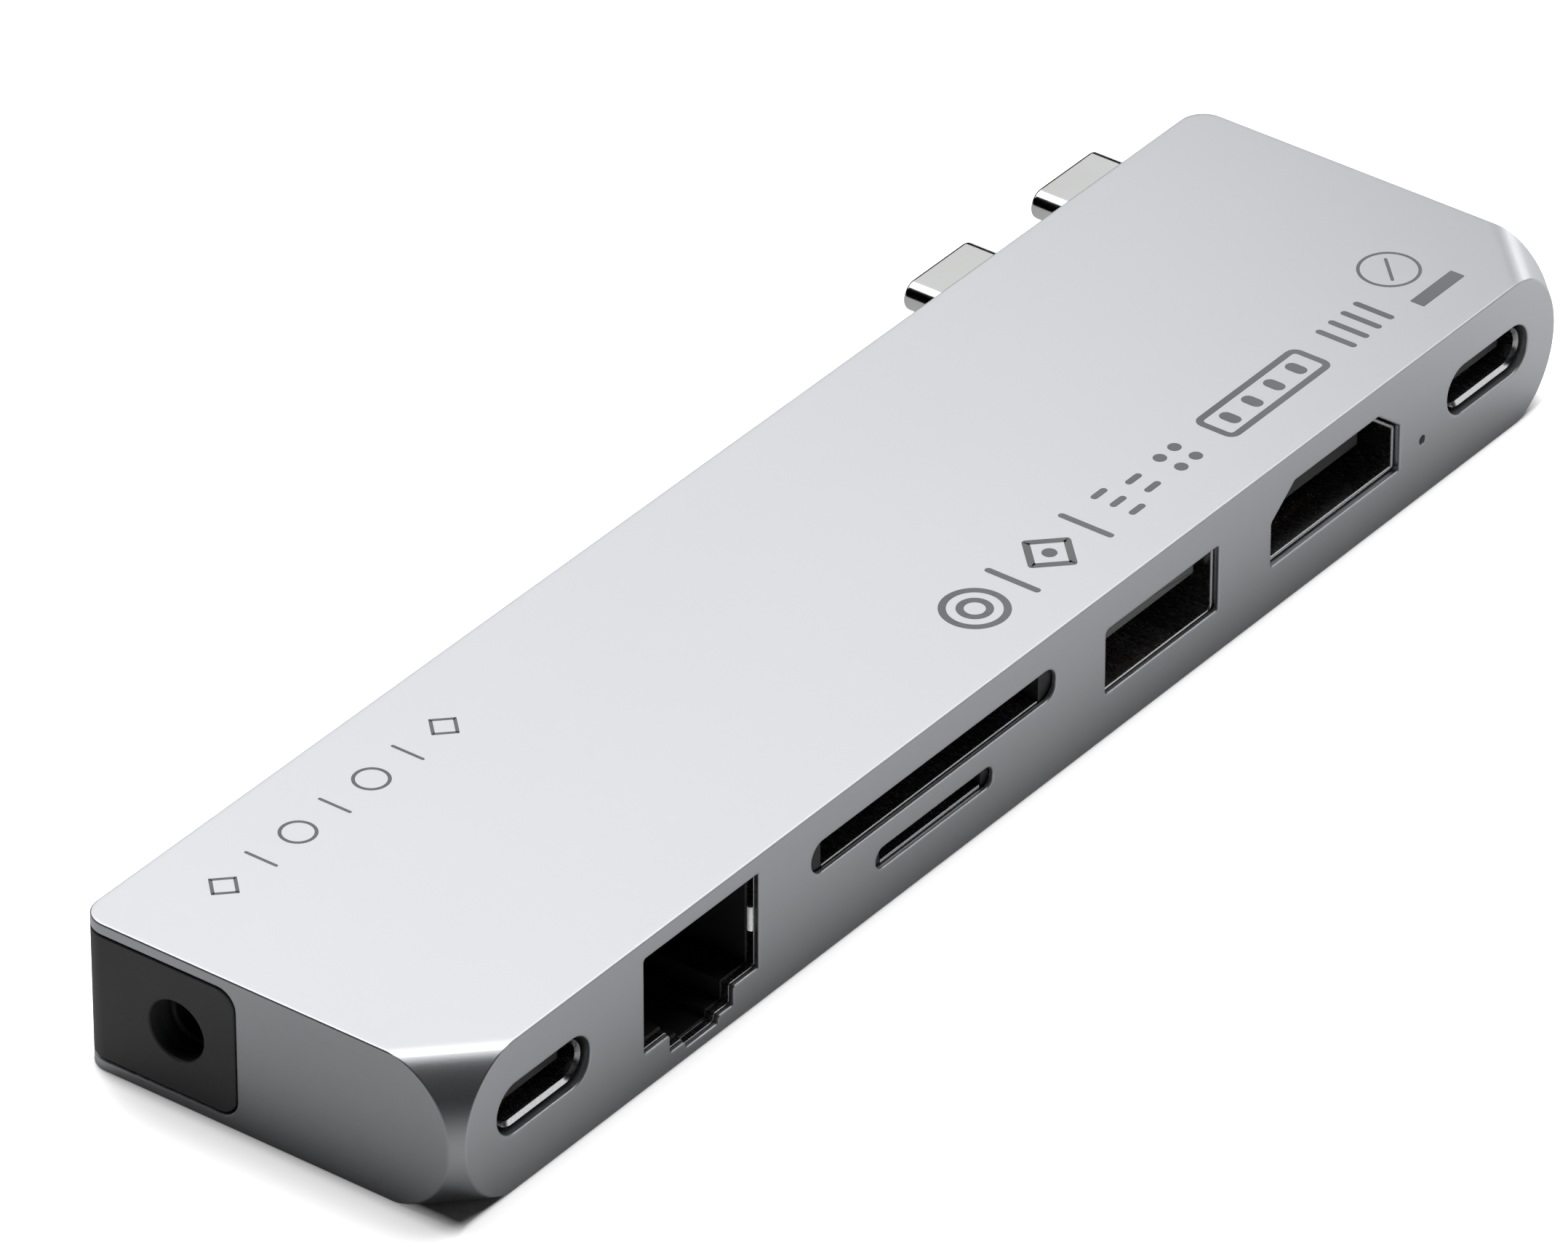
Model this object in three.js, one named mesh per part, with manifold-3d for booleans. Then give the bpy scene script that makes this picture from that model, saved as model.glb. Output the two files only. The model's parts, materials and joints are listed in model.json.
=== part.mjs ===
// A slim laptop hub: an aluminium tray with seven ports along its front face, an audio jack in a dark
// insert at its left end, and two USB-C plugs standing out of its back wall.
// Millimetres. +X runs along the hub, -Y is the port face, +Z is the marked face.
// The origin is the middle of the underside.
import * as THREE from "three";
import { mergeVertices } from "three/addons/utils/BufferGeometryUtils.js";
import Module from "manifold-3d";

const wasm = await Module();
wasm.setup();

// ---------------------------------------------------------------- driving dimensions
// Housing
const LENGTH = 125;
const WIDTH = 31.4;
const HEIGHT = 11.8;
const WALL = 1.2; // side walls
const PORT_LIP = 0.35; // metal left in front of a port, where the wall is milled away from inside
const TOP_WALL = 1.2; // marked top plate
const BACK_CORNER_RADIUS = 2;
const CORNER_CUT_WAIST = 0.81; // leg of the 45 degree front corner cut at mid-height
const CORNER_CUT_FLARE = 5.2; // how much longer that leg is at the top and bottom faces
const COVER_THICKNESS = 0.8; // underside cover, set inside the walls
const FIT_GAP = 0.1; // clearance between pieces that are set into each other
const LOOSE_GAP = 0.3; // clearance round boards and card sliders

// Ports: sizes, and heights of their centres above the underside
const USB_C_END_DISTANCE = 9; // from either end to the nearer USB-C port
// Free lengths between the bodies of neighbouring ports, from left to right. On a longer or shorter
// hub, or with a wider port, they share what is left in the same proportions.
const PORT_GAPS = {
  usbCToEthernet: 4.38,
  ethernetToSd: 3.45,
  sdToUsbA: 5.15,
  usbAToVideo: 6.175,
  videoToUsbC: 6.155,
};
const STATUS_SHARE = 0.443; // place of the status light between the video port and the last USB-C
const USB_C_HEIGHT = 6.4;
const USB_C_CUTOUT = { width: 9.8, height: 3.9 };
const USB_C_SHELL = { width: 8.94, height: 3.26, wall: 0.3, depth: 8 };

const ETHERNET_TOP = 1.44; // below the top face
const ETHERNET_STEPS = [
  { width: 12.35, height: 7.52 }, // plug body
  { width: 6.84, height: 1.45 }, // latch shoulder
  { width: 3.5, height: 0.54 }, // latch tip
];
const ETHERNET_BODY = { width: 15.9, depth: 19.5, socket: 13.2 };
const ETHERNET_SHIELD = 0.2; // sheet thickness
const ETHERNET_WIRES = 8;
const ETHERNET_WIRE_PITCH = 1.02;

const SD_HEIGHT = 7.87;
const SD_SLOT = { width: 27.3, height: 2.47 };
const SD_CARD = { width: 24, thickness: 2.1 };
const SD_RAIL = 2.2; // frame on each side of the card
const SD_DEPTH = 25.7;
const SD_TRAVEL = 3;

const READER_SHEET = 0.2; // lid of either card reader

const MICROSD_HEIGHT = 4.08;
const MICROSD_SLOT = { width: 13.1, height: 1.67 };
const MICROSD_CARD = { width: 11, thickness: 1 };
const MICROSD_RAIL = 1.75;
const MICROSD_DEPTH = 14.2;
const MICROSD_TRAVEL = 1.6;

const USB_A_HEIGHT = 6.11;
const USB_A_CUTOUT = { width: 13.1, height: 5.23, radius: 0.35 };
const USB_A_SHELL = { width: 13.1, height: 5.72, wall: 0.3, depth: 17 };

const VIDEO_HEIGHT = 6.49;
const VIDEO_CUTOUT = { width: 15.35, height: 5.76, cutWidth: 2.7, cutHeight: 2.1 };
const VIDEO_SHELL = { wall: 0.3, depth: 11.5 };

const STATUS_HEIGHT = 4.7;
const STATUS_HOLE = 0.7; // diameter

// Audio jack and its insert, at the left end
const INSERT_WIDTH = 13.1; // along the end face, from the back face
const INSERT_MARGIN = 0.9; // metal left above and below the insert
const INSERT_CORNER = 1.45;
const INSERT_FLANGE = { setIn: 0.6, thickness: 0.7 }; // behind the wall, smaller than the insert
const JACK_FROM_BACK = 8.1;
const JACK_HEIGHT = 5.9;
const JACK_HOLE = 4.5; // hole in the insert
const JACK_BORE = 3.6;
const JACK_BODY = { length: 13, width: 7, height: 5.4 };

// USB-C plugs, at the back
const PLUG_FROM_RIGHT = 6.8; // end face to the nearer plug's centre
const PLUG_PITCH = 15.1;
const PLUG_HEIGHT = 6.22;
const PLUG_LENGTH = 6.65; // standing out of the back face
const PLUG_SHELL = { width: 8.25, height: 2.4, wall: 0.3, inside: 6.5 };
const PLUG_SOCKET = { width: 6.69, height: 1.1, depth: 5.2 };
const BRACKET = { depth: 3.6, height: 6, ear: 4, end: 0.8 }; // the ear takes a screw beside the plugs

// Boards, chips and fasteners
const BOARD_THICKNESS = 1;
const BOARD_TOP = 6;
const CARRIER = { thickness: 0.8, depth: 8 };
const SCREW = { shank: 0.6, head: 1.4, headHeight: 0.7 };
const BOARD_SCREW_LENGTH = 3.4;
const BRACKET_SCREW = { length: 2.3, grip: 1.2 }; // the grip is the bracket left under its head
const SHIELD_CAN = { half: 3.1, height: 1.8, sheet: 0.2 };
const BOSS_RADIUS = 1.6;
const PILOT_RADIUS = 0.7;
const PILOT_SPARE = 0.2; // hole left past a screw's tip
const SCREW_HOLE = 0.9;

const ROUND = 24; // segments in a full circle

// ---------------------------------------------------------------- solids
// A closed three.js geometry as a manifold-3d solid.
function solid(geometry) {
  const bare = geometry.index ? geometry.toNonIndexed() : geometry.clone();
  for (const name of Object.keys(bare.attributes)) {
    if (name !== "position") bare.deleteAttribute(name);
  }
  const merged = mergeVertices(bare, 1e-4);
  return new wasm.Manifold(
    new wasm.Mesh({
      numProp: 3,
      vertProperties: merged.attributes.position.array,
      triVerts: new Uint32Array(merged.index.array),
    }),
  );
}

// A manifold-3d solid as a flat-shaded three.js geometry.
function geometryOf(body) {
  const { numProp, vertProperties, triVerts } = body.getMesh();
  const points = new Float32Array(triVerts.length * 3);
  triVerts.forEach((vertex, i) => {
    for (let axis = 0; axis < 3; axis++) points[3 * i + axis] = vertProperties[numProp * vertex + axis];
  });
  const geometry = new THREE.BufferGeometry();
  geometry.setAttribute("position", new THREE.BufferAttribute(points, 3));
  geometry.computeVertexNormals();
  return geometry;
}

// A block between two corners.
function block([x0, x1], [y0, y1], [z0, z1]) {
  const box = new THREE.BoxGeometry(x1 - x0, y1 - y0, z1 - z0);
  return solid(box.translate((x0 + x1) / 2, (y0 + y1) / 2, (z0 + z1) / 2));
}

// An outline drawn in the plane across an axis, carried along that axis from one place to another.
// The outline's first and second directions are: for x, (y, z); for y, (x, z); for z, (x, y).
function prism(shape, axis, from, to) {
  const geometry = new THREE.ExtrudeGeometry(shape, {
    depth: to - from,
    bevelEnabled: false,
    curveSegments: ROUND / 4,
  });
  if (axis === "x") {
    geometry.applyMatrix4(
      new THREE.Matrix4().makeBasis(
        new THREE.Vector3(0, 1, 0),
        new THREE.Vector3(0, 0, 1),
        new THREE.Vector3(1, 0, 0),
      ),
    );
    geometry.translate(from, 0, 0);
  } else if (axis === "y") {
    geometry.rotateX(Math.PI / 2).translate(0, to, 0);
  } else {
    geometry.translate(0, 0, from);
  }
  return solid(geometry);
}

// A round bar along an axis, centred on (u, v) in the plane across it.
function bar(radius, axis, from, to, u = 0, v = 0, segments = ROUND) {
  const points = Array.from({ length: segments }, (_, i) => {
    const angle = (2 * Math.PI * i) / segments;
    return new THREE.Vector2(u + radius * Math.cos(angle), v + radius * Math.sin(angle));
  });
  return prism(new THREE.Shape(points), axis, from, to);
}

function polygon(points) {
  return new THREE.Shape(points.map(([u, v]) => new THREE.Vector2(u, v)));
}

// A rectangle with rounded corners about (u, v); with radius = height / 2 it is a stadium.
function roundedRectangle(width, height, radius, u = 0, v = 0) {
  const [w, h] = [width / 2 - radius, height / 2 - radius];
  const shape = new THREE.Shape();
  shape.absarc(u + w, v - h, radius, -Math.PI / 2, 0);
  shape.absarc(u + w, v + h, radius, 0, Math.PI / 2);
  shape.absarc(u - w, v + h, radius, Math.PI / 2, Math.PI);
  shape.absarc(u - w, v - h, radius, Math.PI, (3 * Math.PI) / 2);
  return shape;
}

const stadium = (width, height, u = 0, v = 0) =>
  roundedRectangle(width, height, height / 2 - 1e-3, u, v);

function join(...bodies) {
  return bodies.reduce((sum, body) => sum.add(body));
}

function cut(body, ...tools) {
  return tools.reduce((rest, tool) => rest.subtract(tool), body);
}

// ---------------------------------------------------------------- materials
const material = (color, roughness, metalness) =>
  new THREE.MeshStandardMaterial({ color, roughness, metalness });

const anodised = material(0xcfd0d3, 0.42, 0.85);
const darkPlastic = material(0x2b2c2e, 0.5, 0);
const blackPlastic = material(0x141415, 0.45, 0);
const steel = material(0xb9bbbd, 0.28, 1);
const brightSteel = material(0xd6d8d6, 0.15, 1);
const gold = material(0xd8b25a, 0.25, 1);
const boardGreen = material(0x1d5a3a, 0.5, 0.05);
const chipBlack = material(0x1b1c1e, 0.55, 0);
const padGrey = material(0x8a93a0, 0.85, 0);
const clearPipe = material(0xe9eef0, 0.1, 0);
const lampWhite = material(0xf4f3e6, 0.3, 0);

// ---------------------------------------------------------------- assembly helpers
const hub = new THREE.Group();

function place(group, name, body, finish) {
  const mesh = new THREE.Mesh(geometryOf(body), finish);
  mesh.name = name;
  group.add(mesh);
}

const LEFT = -LENGTH / 2;
const RIGHT = LENGTH / 2;
const FRONT = -WIDTH / 2;
const BACK = WIDTH / 2;
const CEILING = HEIGHT - TOP_WALL;
const INSIDE = { left: LEFT + WALL, right: RIGHT - WALL, front: FRONT + WALL, back: BACK - WALL };

// A group whose origin is a port's centre on the port face, with +Y going into the hub.
function portGroup(fromLeft, height) {
  const group = new THREE.Group();
  group.position.set(LEFT + fromLeft, FRONT, height);
  hub.add(group);
  return group;
}

const behindLip = PORT_LIP + FIT_GAP;

// ---------------------------------------------------------------- housing outline
// Leg of the front corner cut at a height: a half ellipse that runs tangent into both flat faces.
function cornerLeg(z) {
  const u = (2 * z) / HEIGHT - 1;
  return CORNER_CUT_WAIST + CORNER_CUT_FLARE * (1 - Math.sqrt(Math.max(0, 1 - u * u)));
}

// Plan outline with cut front corners and rounded back corners, drawn inset from the outer walls.
function planOutline(inset, leg, radius) {
  const [l, r, f, b] = [LEFT + inset, RIGHT - inset, FRONT + inset, BACK - inset];
  const shape = new THREE.Shape();
  shape.moveTo(l + leg, f);
  shape.lineTo(r - leg, f);
  shape.lineTo(r, f + leg);
  shape.absarc(r - radius, b - radius, radius, 0, Math.PI / 2);
  shape.absarc(l + radius, b - radius, radius, Math.PI / 2, Math.PI);
  shape.lineTo(l, f + leg);
  return shape;
}

// Inside the walls the corner cut keeps a full wall behind its longest leg.
const innerLeg = (inset) =>
  CORNER_CUT_WAIST + CORNER_CUT_FLARE - (2 - Math.SQRT2) * inset;
const innerOutline = (inset) =>
  planOutline(inset, innerLeg(inset), Math.max(BACK_CORNER_RADIUS - inset, 0.4));

// The tool that cuts one front corner: its profile across the corner is the half ellipse.
function cornerTool(side) {
  const steps = 16;
  const reach = CORNER_CUT_WAIST + CORNER_CUT_FLARE + 2;
  const profile = [[-reach, -1], [cornerLeg(0) / Math.SQRT2, -1]];
  for (let i = 0; i <= steps; i++) {
    const z = (HEIGHT / 2) * (1 - Math.cos((Math.PI * i) / steps));
    profile.push([cornerLeg(z) / Math.SQRT2, z]);
  }
  profile.push([cornerLeg(HEIGHT) / Math.SQRT2, HEIGHT + 1], [-reach, HEIGHT + 1]);
  const geometry = new THREE.ExtrudeGeometry(polygon(profile), {
    depth: 4 * reach,
    bevelEnabled: false,
  });
  geometry.translate(0, 0, -2 * reach).rotateX(Math.PI / 2);
  geometry.rotateZ(side < 0 ? Math.PI / 4 : (3 * Math.PI) / 4);
  return solid(geometry.translate(side < 0 ? LEFT : RIGHT, FRONT, 0));
}

function outerBody() {
  const plan = planOutline(0, 0, BACK_CORNER_RADIUS);
  return cut(prism(plan, "z", 0, HEIGHT), cornerTool(-1), cornerTool(1));
}

// ---------------------------------------------------------------- port outlines
const ethernetTop = HEIGHT - ETHERNET_TOP;
const ethernetLevels = ETHERNET_STEPS.reduce(
  (levels, step) => [...levels, levels.at(-1) - step.height],
  [ethernetTop],
);

// Stepped outline of the Ethernet opening, each step narrower than the one above, top first.
function ethernetOutline(narrower = 0) {
  const right = ETHERNET_STEPS.flatMap((step, i) => {
    const u = step.width / 2 - narrower;
    return [[u, ethernetLevels[i]], [u, ethernetLevels[i + 1]]];
  });
  const left = right.map(([u, v]) => [-u, v]).reverse();
  return polygon([...left, ...right].reverse());
}

// Video port outline, narrow side up, made smaller all round by an inset.
function videoOutline(inset) {
  const { width, height, cutWidth, cutHeight } = VIDEO_CUTOUT;
  const [w, h] = [width / 2 - inset, height / 2 - inset];
  const lean = Math.hypot(cutWidth, cutHeight);
  const dw = cutWidth - inset * (1 + (cutWidth - lean) / cutHeight);
  const dh = cutHeight - inset * (1 + (cutHeight - lean) / cutWidth);
  return polygon([[-w, -h], [w, -h], [w, h - dh], [w - dw, h], [dw - w, h], [-w, h - dh]]);
}

// ---------------------------------------------------------------- where things stand
const usbCPlaces = { left: USB_C_END_DISTANCE, right: LENGTH - USB_C_END_DISTANCE };
const plugPlaces = [LENGTH - PLUG_FROM_RIGHT - PLUG_PITCH, LENGTH - PLUG_FROM_RIGHT];
const boardBottom = BOARD_TOP - BOARD_THICKNESS;
const jackY = BACK - JACK_FROM_BACK;
const insertFront = BACK - INSERT_WIDTH;
const bracketFront = INSIDE.back - FIT_GAP - BRACKET.depth;
const bracketSeat = PLUG_HEIGHT + BRACKET.height / 2 - BRACKET_SCREW.grip;
const bracketZ = [PLUG_HEIGHT - BRACKET.height / 2, PLUG_HEIGHT + BRACKET.height / 2];
const carrierTop = PLUG_HEIGHT + CARRIER.thickness / 2;
const carrierBottom = PLUG_HEIGHT - CARRIER.thickness / 2;
const plugBack = BACK - PLUG_SHELL.inside;
const carrierBack = bracketFront - FIT_GAP;
const carrierFront = carrierBack - CARRIER.depth;
const bracketLeft = plugPlaces[0] - PLUG_SHELL.width / 2 - BRACKET.ear;
const bracketRight = plugPlaces[1] + PLUG_SHELL.width / 2 + BRACKET.end;

const between = (a, b) => (a + b) / 2;
const bodyWidths = [ETHERNET_BODY.width, SD_CARD.width + 2 * SD_RAIL, USB_A_SHELL.width, VIDEO_CUTOUT.width];
const gaps = Object.values(PORT_GAPS);
const total = (numbers) => numbers.reduce((sum, n) => sum + n, 0);
const innerUsbC = USB_C_END_DISTANCE + USB_C_SHELL.width / 2; // inner edge of either end port
const gapScale = (LENGTH - 2 * innerUsbC - total(bodyWidths)) / total(gaps);
// The left and right edges of each port's body, from the left end.
const [ethernetEdges, sdEdges, usbAEdges, videoEdges] = bodyWidths.map((width, i) => {
  const left = innerUsbC + total(bodyWidths.slice(0, i)) + gapScale * total(gaps.slice(0, i + 1));
  return [left, left + width];
});
const [ETHERNET_X, SD_X, USB_A_X, VIDEO_X] = [ethernetEdges, sdEdges, usbAEdges, videoEdges].map((edges) =>
  between(...edges),
);
const STATUS_X = videoEdges[1] + STATUS_SHARE * gapScale * PORT_GAPS.videoToUsbC;

// Board screws stand in the spaces between the ports, bracket screws beside the plugs.
const sdLidEdge = sdEdges[0] - READER_SHEET - FIT_GAP;
const boardScrews = [
  [between(innerUsbC, ethernetEdges[0] - ETHERNET_SHIELD - FIT_GAP), FRONT + 6.7],
  [sdLidEdge - LOOSE_GAP - BOSS_RADIUS, BACK - 3.9],
  [between(sdEdges[1], usbAEdges[0]), FRONT + 17.7],
  [between(videoEdges[1], LENGTH - innerUsbC), FRONT + 8.7],
];
const bracketScrews = [
  [bracketLeft + BRACKET.ear / 2, bracketFront + BRACKET.depth / 2],
  [between(...plugPlaces), bracketFront + BRACKET.depth / 2],
];

// Snap hooks of the underside cover stand along both long walls, in the spaces between the ports.
const hookPlaces = [
  [between(ethernetEdges[1], sdEdges[0]), -1],
  [between(sdEdges[1], usbAEdges[0]), -1],
  [between(usbAEdges[1], videoEdges[0]), -1],
  [ETHERNET_X, 1],
  [SD_X, 1],
  [USB_A_X, 1],
];
const HOOK = { width: 1.2, thickness: 0.6, barb: 0.35, barbZ: 2.7, barbHeight: 0.8 };
const RIB = { width: 1.8, height: 0.6, depth: 0.5, z: 2 };

// ---------------------------------------------------------------- housing
function bosses(places, bottom) {
  return places.map(([x, y]) => bar(BOSS_RADIUS, "z", bottom, CEILING + TOP_WALL / 2, LEFT + x, y, 16));
}

function pilots(places, bottom, screwTip) {
  const end = Math.min(screwTip + PILOT_SPARE, CEILING);
  return places.map(([x, y]) => bar(PILOT_RADIUS, "z", bottom - 1, end, LEFT + x, y, 12));
}

function portTool(outline, fromLeft, height, depth = WALL) {
  return prism(outline, "y", -1, depth).translate([LEFT + fromLeft, FRONT, height]);
}

// Behind a port the wall is milled thin, so that the port's body reaches almost to the face.
function portPocket(fromLeft, halfWidth, [z0, z1]) {
  const side = halfWidth + FIT_GAP;
  const top = Math.min(z1 + FIT_GAP, CEILING);
  const tool = block([-side, side], [PORT_LIP, WALL + 0.5], [z0 - FIT_GAP, top]);
  return tool.translate([LEFT + fromLeft, FRONT, 0]);
}

function portPockets() {
  const lidRise = 0.15 + FIT_GAP + READER_SHEET; // lid above the card
  const reader = (card, rail) => card.width / 2 + rail + FIT_GAP + READER_SHEET;
  return [
    portPocket(ETHERNET_X, ETHERNET_BODY.width / 2 + ETHERNET_SHIELD + FIT_GAP, [
      COVER_THICKNESS + FIT_GAP,
      ethernetTop + ETHERNET_SHIELD,
    ]),
    portPocket(SD_X, reader(SD_CARD, SD_RAIL), [BOARD_TOP, SD_HEIGHT + SD_CARD.thickness / 2 + lidRise]),
    portPocket(SD_X, reader(MICROSD_CARD, MICROSD_RAIL), [
      MICROSD_HEIGHT - MICROSD_CARD.thickness / 2 - lidRise,
      boardBottom,
    ]),
    portPocket(USB_A_X, USB_A_SHELL.width / 2, [
      USB_A_HEIGHT - USB_A_SHELL.height / 2,
      USB_A_HEIGHT + USB_A_SHELL.height / 2,
    ]),
  ];
}

function housing() {
  let shell = cut(outerBody(), prism(innerOutline(WALL), "z", -1, CEILING));

  const hookRibs = hookPlaces.map(([x, side]) => {
    const wall = side < 0 ? INSIDE.front : INSIDE.back;
    const faces = [wall + side * 0.2, wall - side * RIB.depth].sort((a, b) => a - b);
    const middle = LEFT + x;
    return block([middle - RIB.width / 2, middle + RIB.width / 2], faces, [RIB.z, RIB.z + RIB.height]);
  });
  shell = join(shell, ...hookRibs, ...bosses(boardScrews, BOARD_TOP), ...bosses(bracketScrews, bracketZ[1]));
  shell = cut(
    shell,
    ...pilots(boardScrews, BOARD_TOP, boardBottom + BOARD_SCREW_LENGTH),
    ...pilots(bracketScrews, bracketZ[1], bracketSeat + BRACKET_SCREW.length),
  );

  const through = WALL + 0.5;
  for (const x of Object.values(usbCPlaces)) {
    const { width, height } = USB_C_CUTOUT;
    shell = cut(shell, portTool(stadium(width, height), x, USB_C_HEIGHT, through));
    // the flared corner wall is milled back behind the opening to let the receptacle in
    const pocket = block(
      [-USB_C_SHELL.width / 2 - FIT_GAP, USB_C_SHELL.width / 2 + FIT_GAP],
      [WALL, USB_C_SHELL.depth + 1],
      [-USB_C_SHELL.height / 2 - FIT_GAP, USB_C_SHELL.height / 2 + FIT_GAP],
    );
    shell = cut(shell, pocket.translate([LEFT + x, FRONT, USB_C_HEIGHT]));
  }
  shell = cut(
    shell,
    portTool(ethernetOutline(), ETHERNET_X, 0, through),
    portTool(stadium(SD_SLOT.width, SD_SLOT.height), SD_X, SD_HEIGHT, through),
    portTool(stadium(MICROSD_SLOT.width, MICROSD_SLOT.height), SD_X, MICROSD_HEIGHT, through),
    portTool(
      roundedRectangle(USB_A_CUTOUT.width, USB_A_CUTOUT.height, USB_A_CUTOUT.radius),
      USB_A_X,
      USB_A_HEIGHT,
      through,
    ),
    portTool(videoOutline(0), VIDEO_X, VIDEO_HEIGHT, through),
    bar(STATUS_HOLE / 2, "y", FRONT - 1, INSIDE.front + 0.5, LEFT + STATUS_X, STATUS_HEIGHT, 12),
  );
  shell = cut(shell, ...portPockets());
  for (const x of plugPlaces) {
    const [width, height] = [PLUG_SHELL.width + 2 * FIT_GAP, PLUG_SHELL.height + 2 * FIT_GAP];
    const slot = stadium(width, height, LEFT + x, PLUG_HEIGHT);
    shell = cut(shell, prism(slot, "y", INSIDE.back - 0.5, BACK + 1));
  }
  return cut(shell, insertWindow(0));
}

// ---------------------------------------------------------------- jack end insert
// The window in the left end: rounded at the front, and running out round the back-left corner.
function insertWindow(gap) {
  const height = HEIGHT - 2 * INSERT_MARGIN - 2 * gap;
  const extra = 4; // past the back face
  const outline = roundedRectangle(
    INSERT_WIDTH + extra - gap,
    height,
    INSERT_CORNER,
    insertFront + gap + (INSERT_WIDTH + extra - gap) / 2,
    HEIGHT / 2,
  );
  return prism(outline, "x", LEFT - 1, LEFT + BACK_CORNER_RADIUS - gap);
}

function jackInsert() {
  const skin = cut(
    outerBody().intersect(insertWindow(FIT_GAP)),
    prism(innerOutline(WALL), "z", -1, HEIGHT + 1),
  );
  // a flange behind the wall keeps the insert from being pulled out
  const inner = INSIDE.left + FIT_GAP;
  const { setIn, thickness } = INSERT_FLANGE;
  const flange = block(
    [inner - FIT_GAP - 0.2, inner + thickness],
    [insertFront + setIn, INSIDE.back - FIT_GAP],
    [INSERT_MARGIN + setIn, HEIGHT - INSERT_MARGIN - setIn],
  );
  const hole = bar(JACK_HOLE / 2, "x", LEFT - 1, LEFT + 4, jackY, JACK_HEIGHT);
  return cut(join(skin, flange), hole);
}

function audioJack() {
  const front = INSIDE.left + FIT_GAP + INSERT_FLANGE.thickness + FIT_GAP;
  const { length, width, height } = JACK_BODY;
  const y = [jackY - width / 2, jackY + width / 2];
  const body = block([front, front + length], y, [JACK_HEIGHT - height / 2, JACK_HEIGHT + height / 2]);
  const bore = bar(JACK_BORE / 2, "x", front - 1, front + length - 1.2, jackY, JACK_HEIGHT);
  const window = block(
    [front + 4, front + 9],
    [jackY - 1, jackY + 1],
    [JACK_HEIGHT - height / 2 - 1, JACK_HEIGHT],
  );
  place(hub, "audio_jack_body", cut(body, bore, window), blackPlastic);

  // a bent spring leaf that presses on the plug's tip through the window in the body
  const low = JACK_HEIGHT - height / 2;
  const leaf = polygon([
    [front + 4.2, low - 0.3],
    [front + 8.4, low - 0.3],
    [front + 8.6, low + 0.5],
    [front + 6.4, JACK_HEIGHT - JACK_BORE / 2 + 0.35],
    [front + 6.4, JACK_HEIGHT - JACK_BORE / 2 + 0.1],
    [front + 8.2, low + 0.3],
    [front + 8.1, low - 0.08],
    [front + 4.2, low - 0.08],
  ]);
  place(hub, "audio_jack_contact", prism(leaf, "y", jackY - 0.7, jackY + 0.7), gold);
}

// ---------------------------------------------------------------- front ports
function usbCReceptacle(name, fromLeft) {
  const group = portGroup(fromLeft, USB_C_HEIGHT);
  const { width, height, wall, depth } = USB_C_SHELL;
  const mouth = 0.5; // set back from the port face
  const tongueTip = 1.5;
  const core = 5.5;
  const shell = cut(
    prism(stadium(width, height), "y", mouth, depth + 0.6),
    prism(stadium(width - 2 * wall, height - 2 * wall), "y", mouth - 1, depth + 1.6),
  );
  place(group, name + "_shell", shell, steel);
  const inner = { width: width - 2 * wall - FIT_GAP, height: height - 2 * wall - FIT_GAP };
  const base = prism(stadium(inner.width, inner.height), "y", core, depth + 0.5);
  const tongue = block([-3.35, 3.35], [tongueTip, core + 0.1], [-0.35, 0.35]);
  place(group, name + "_tongue", join(base, tongue), blackPlastic);
}

function ethernetJack() {
  const group = portGroup(ETHERNET_X, 0);
  const { width, depth, socket } = ETHERNET_BODY;
  const back = behindLip + depth;
  const low = COVER_THICKNESS + FIT_GAP;
  const sheet = ETHERNET_SHIELD;
  const outer = width / 2 + sheet + FIT_GAP;
  const shieldTop = ethernetTop + sheet;
  const shield = cut(
    block([-outer, outer], [behindLip, back + sheet + FIT_GAP], [low, shieldTop]),
    block([sheet - outer, outer - sheet], [behindLip - 1, back + FIT_GAP], [low - 1, ethernetTop]),
  );
  place(group, "ethernet_shield", shield, steel);

  const roof = ethernetTop - FIT_GAP;
  const mouth = prism(ethernetOutline(0.15), "y", behindLip - 1, behindLip + socket);
  const clear = block([0.15 - ETHERNET_STEPS[0].width / 2, ETHERNET_STEPS[0].width / 2 - 0.15],
    [behindLip - 1, behindLip + socket], [ethernetTop - 1, ethernetTop + 1]);
  const body = cut(block([-width / 2, width / 2], [behindLip, back], [low, roof]), mouth, clear);
  place(group, "ethernet_jack_body", body, blackPlastic);

  // each wire runs forward under the roof, folds, and slants back down into the socket
  const rear = behindLip + socket - 0.15;
  const fold = behindLip + 2.6;
  const wire = polygon([
    [fold, roof - 0.15],
    [fold, roof - 0.45],
    [fold + 5.6, roof - 2.1],
    [fold + 5.8, roof - 1.85],
    [fold + 1.4, roof - 0.45],
    [rear, roof - 0.45],
    [rear, roof - 0.15],
  ]);
  const first = (-(ETHERNET_WIRES - 1) / 2) * ETHERNET_WIRE_PITCH;
  const wires = Array.from({ length: ETHERNET_WIRES }, (_, i) => {
    const x = first + i * ETHERNET_WIRE_PITCH;
    return prism(wire, "x", x - 0.22, x + 0.22);
  });
  const carrier = block([first - 0.6, 0.6 - first], [rear - 1, rear], [roof - 0.8, roof - 0.1]);
  place(group, "ethernet_contacts", join(carrier, ...wires), gold);
}

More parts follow.
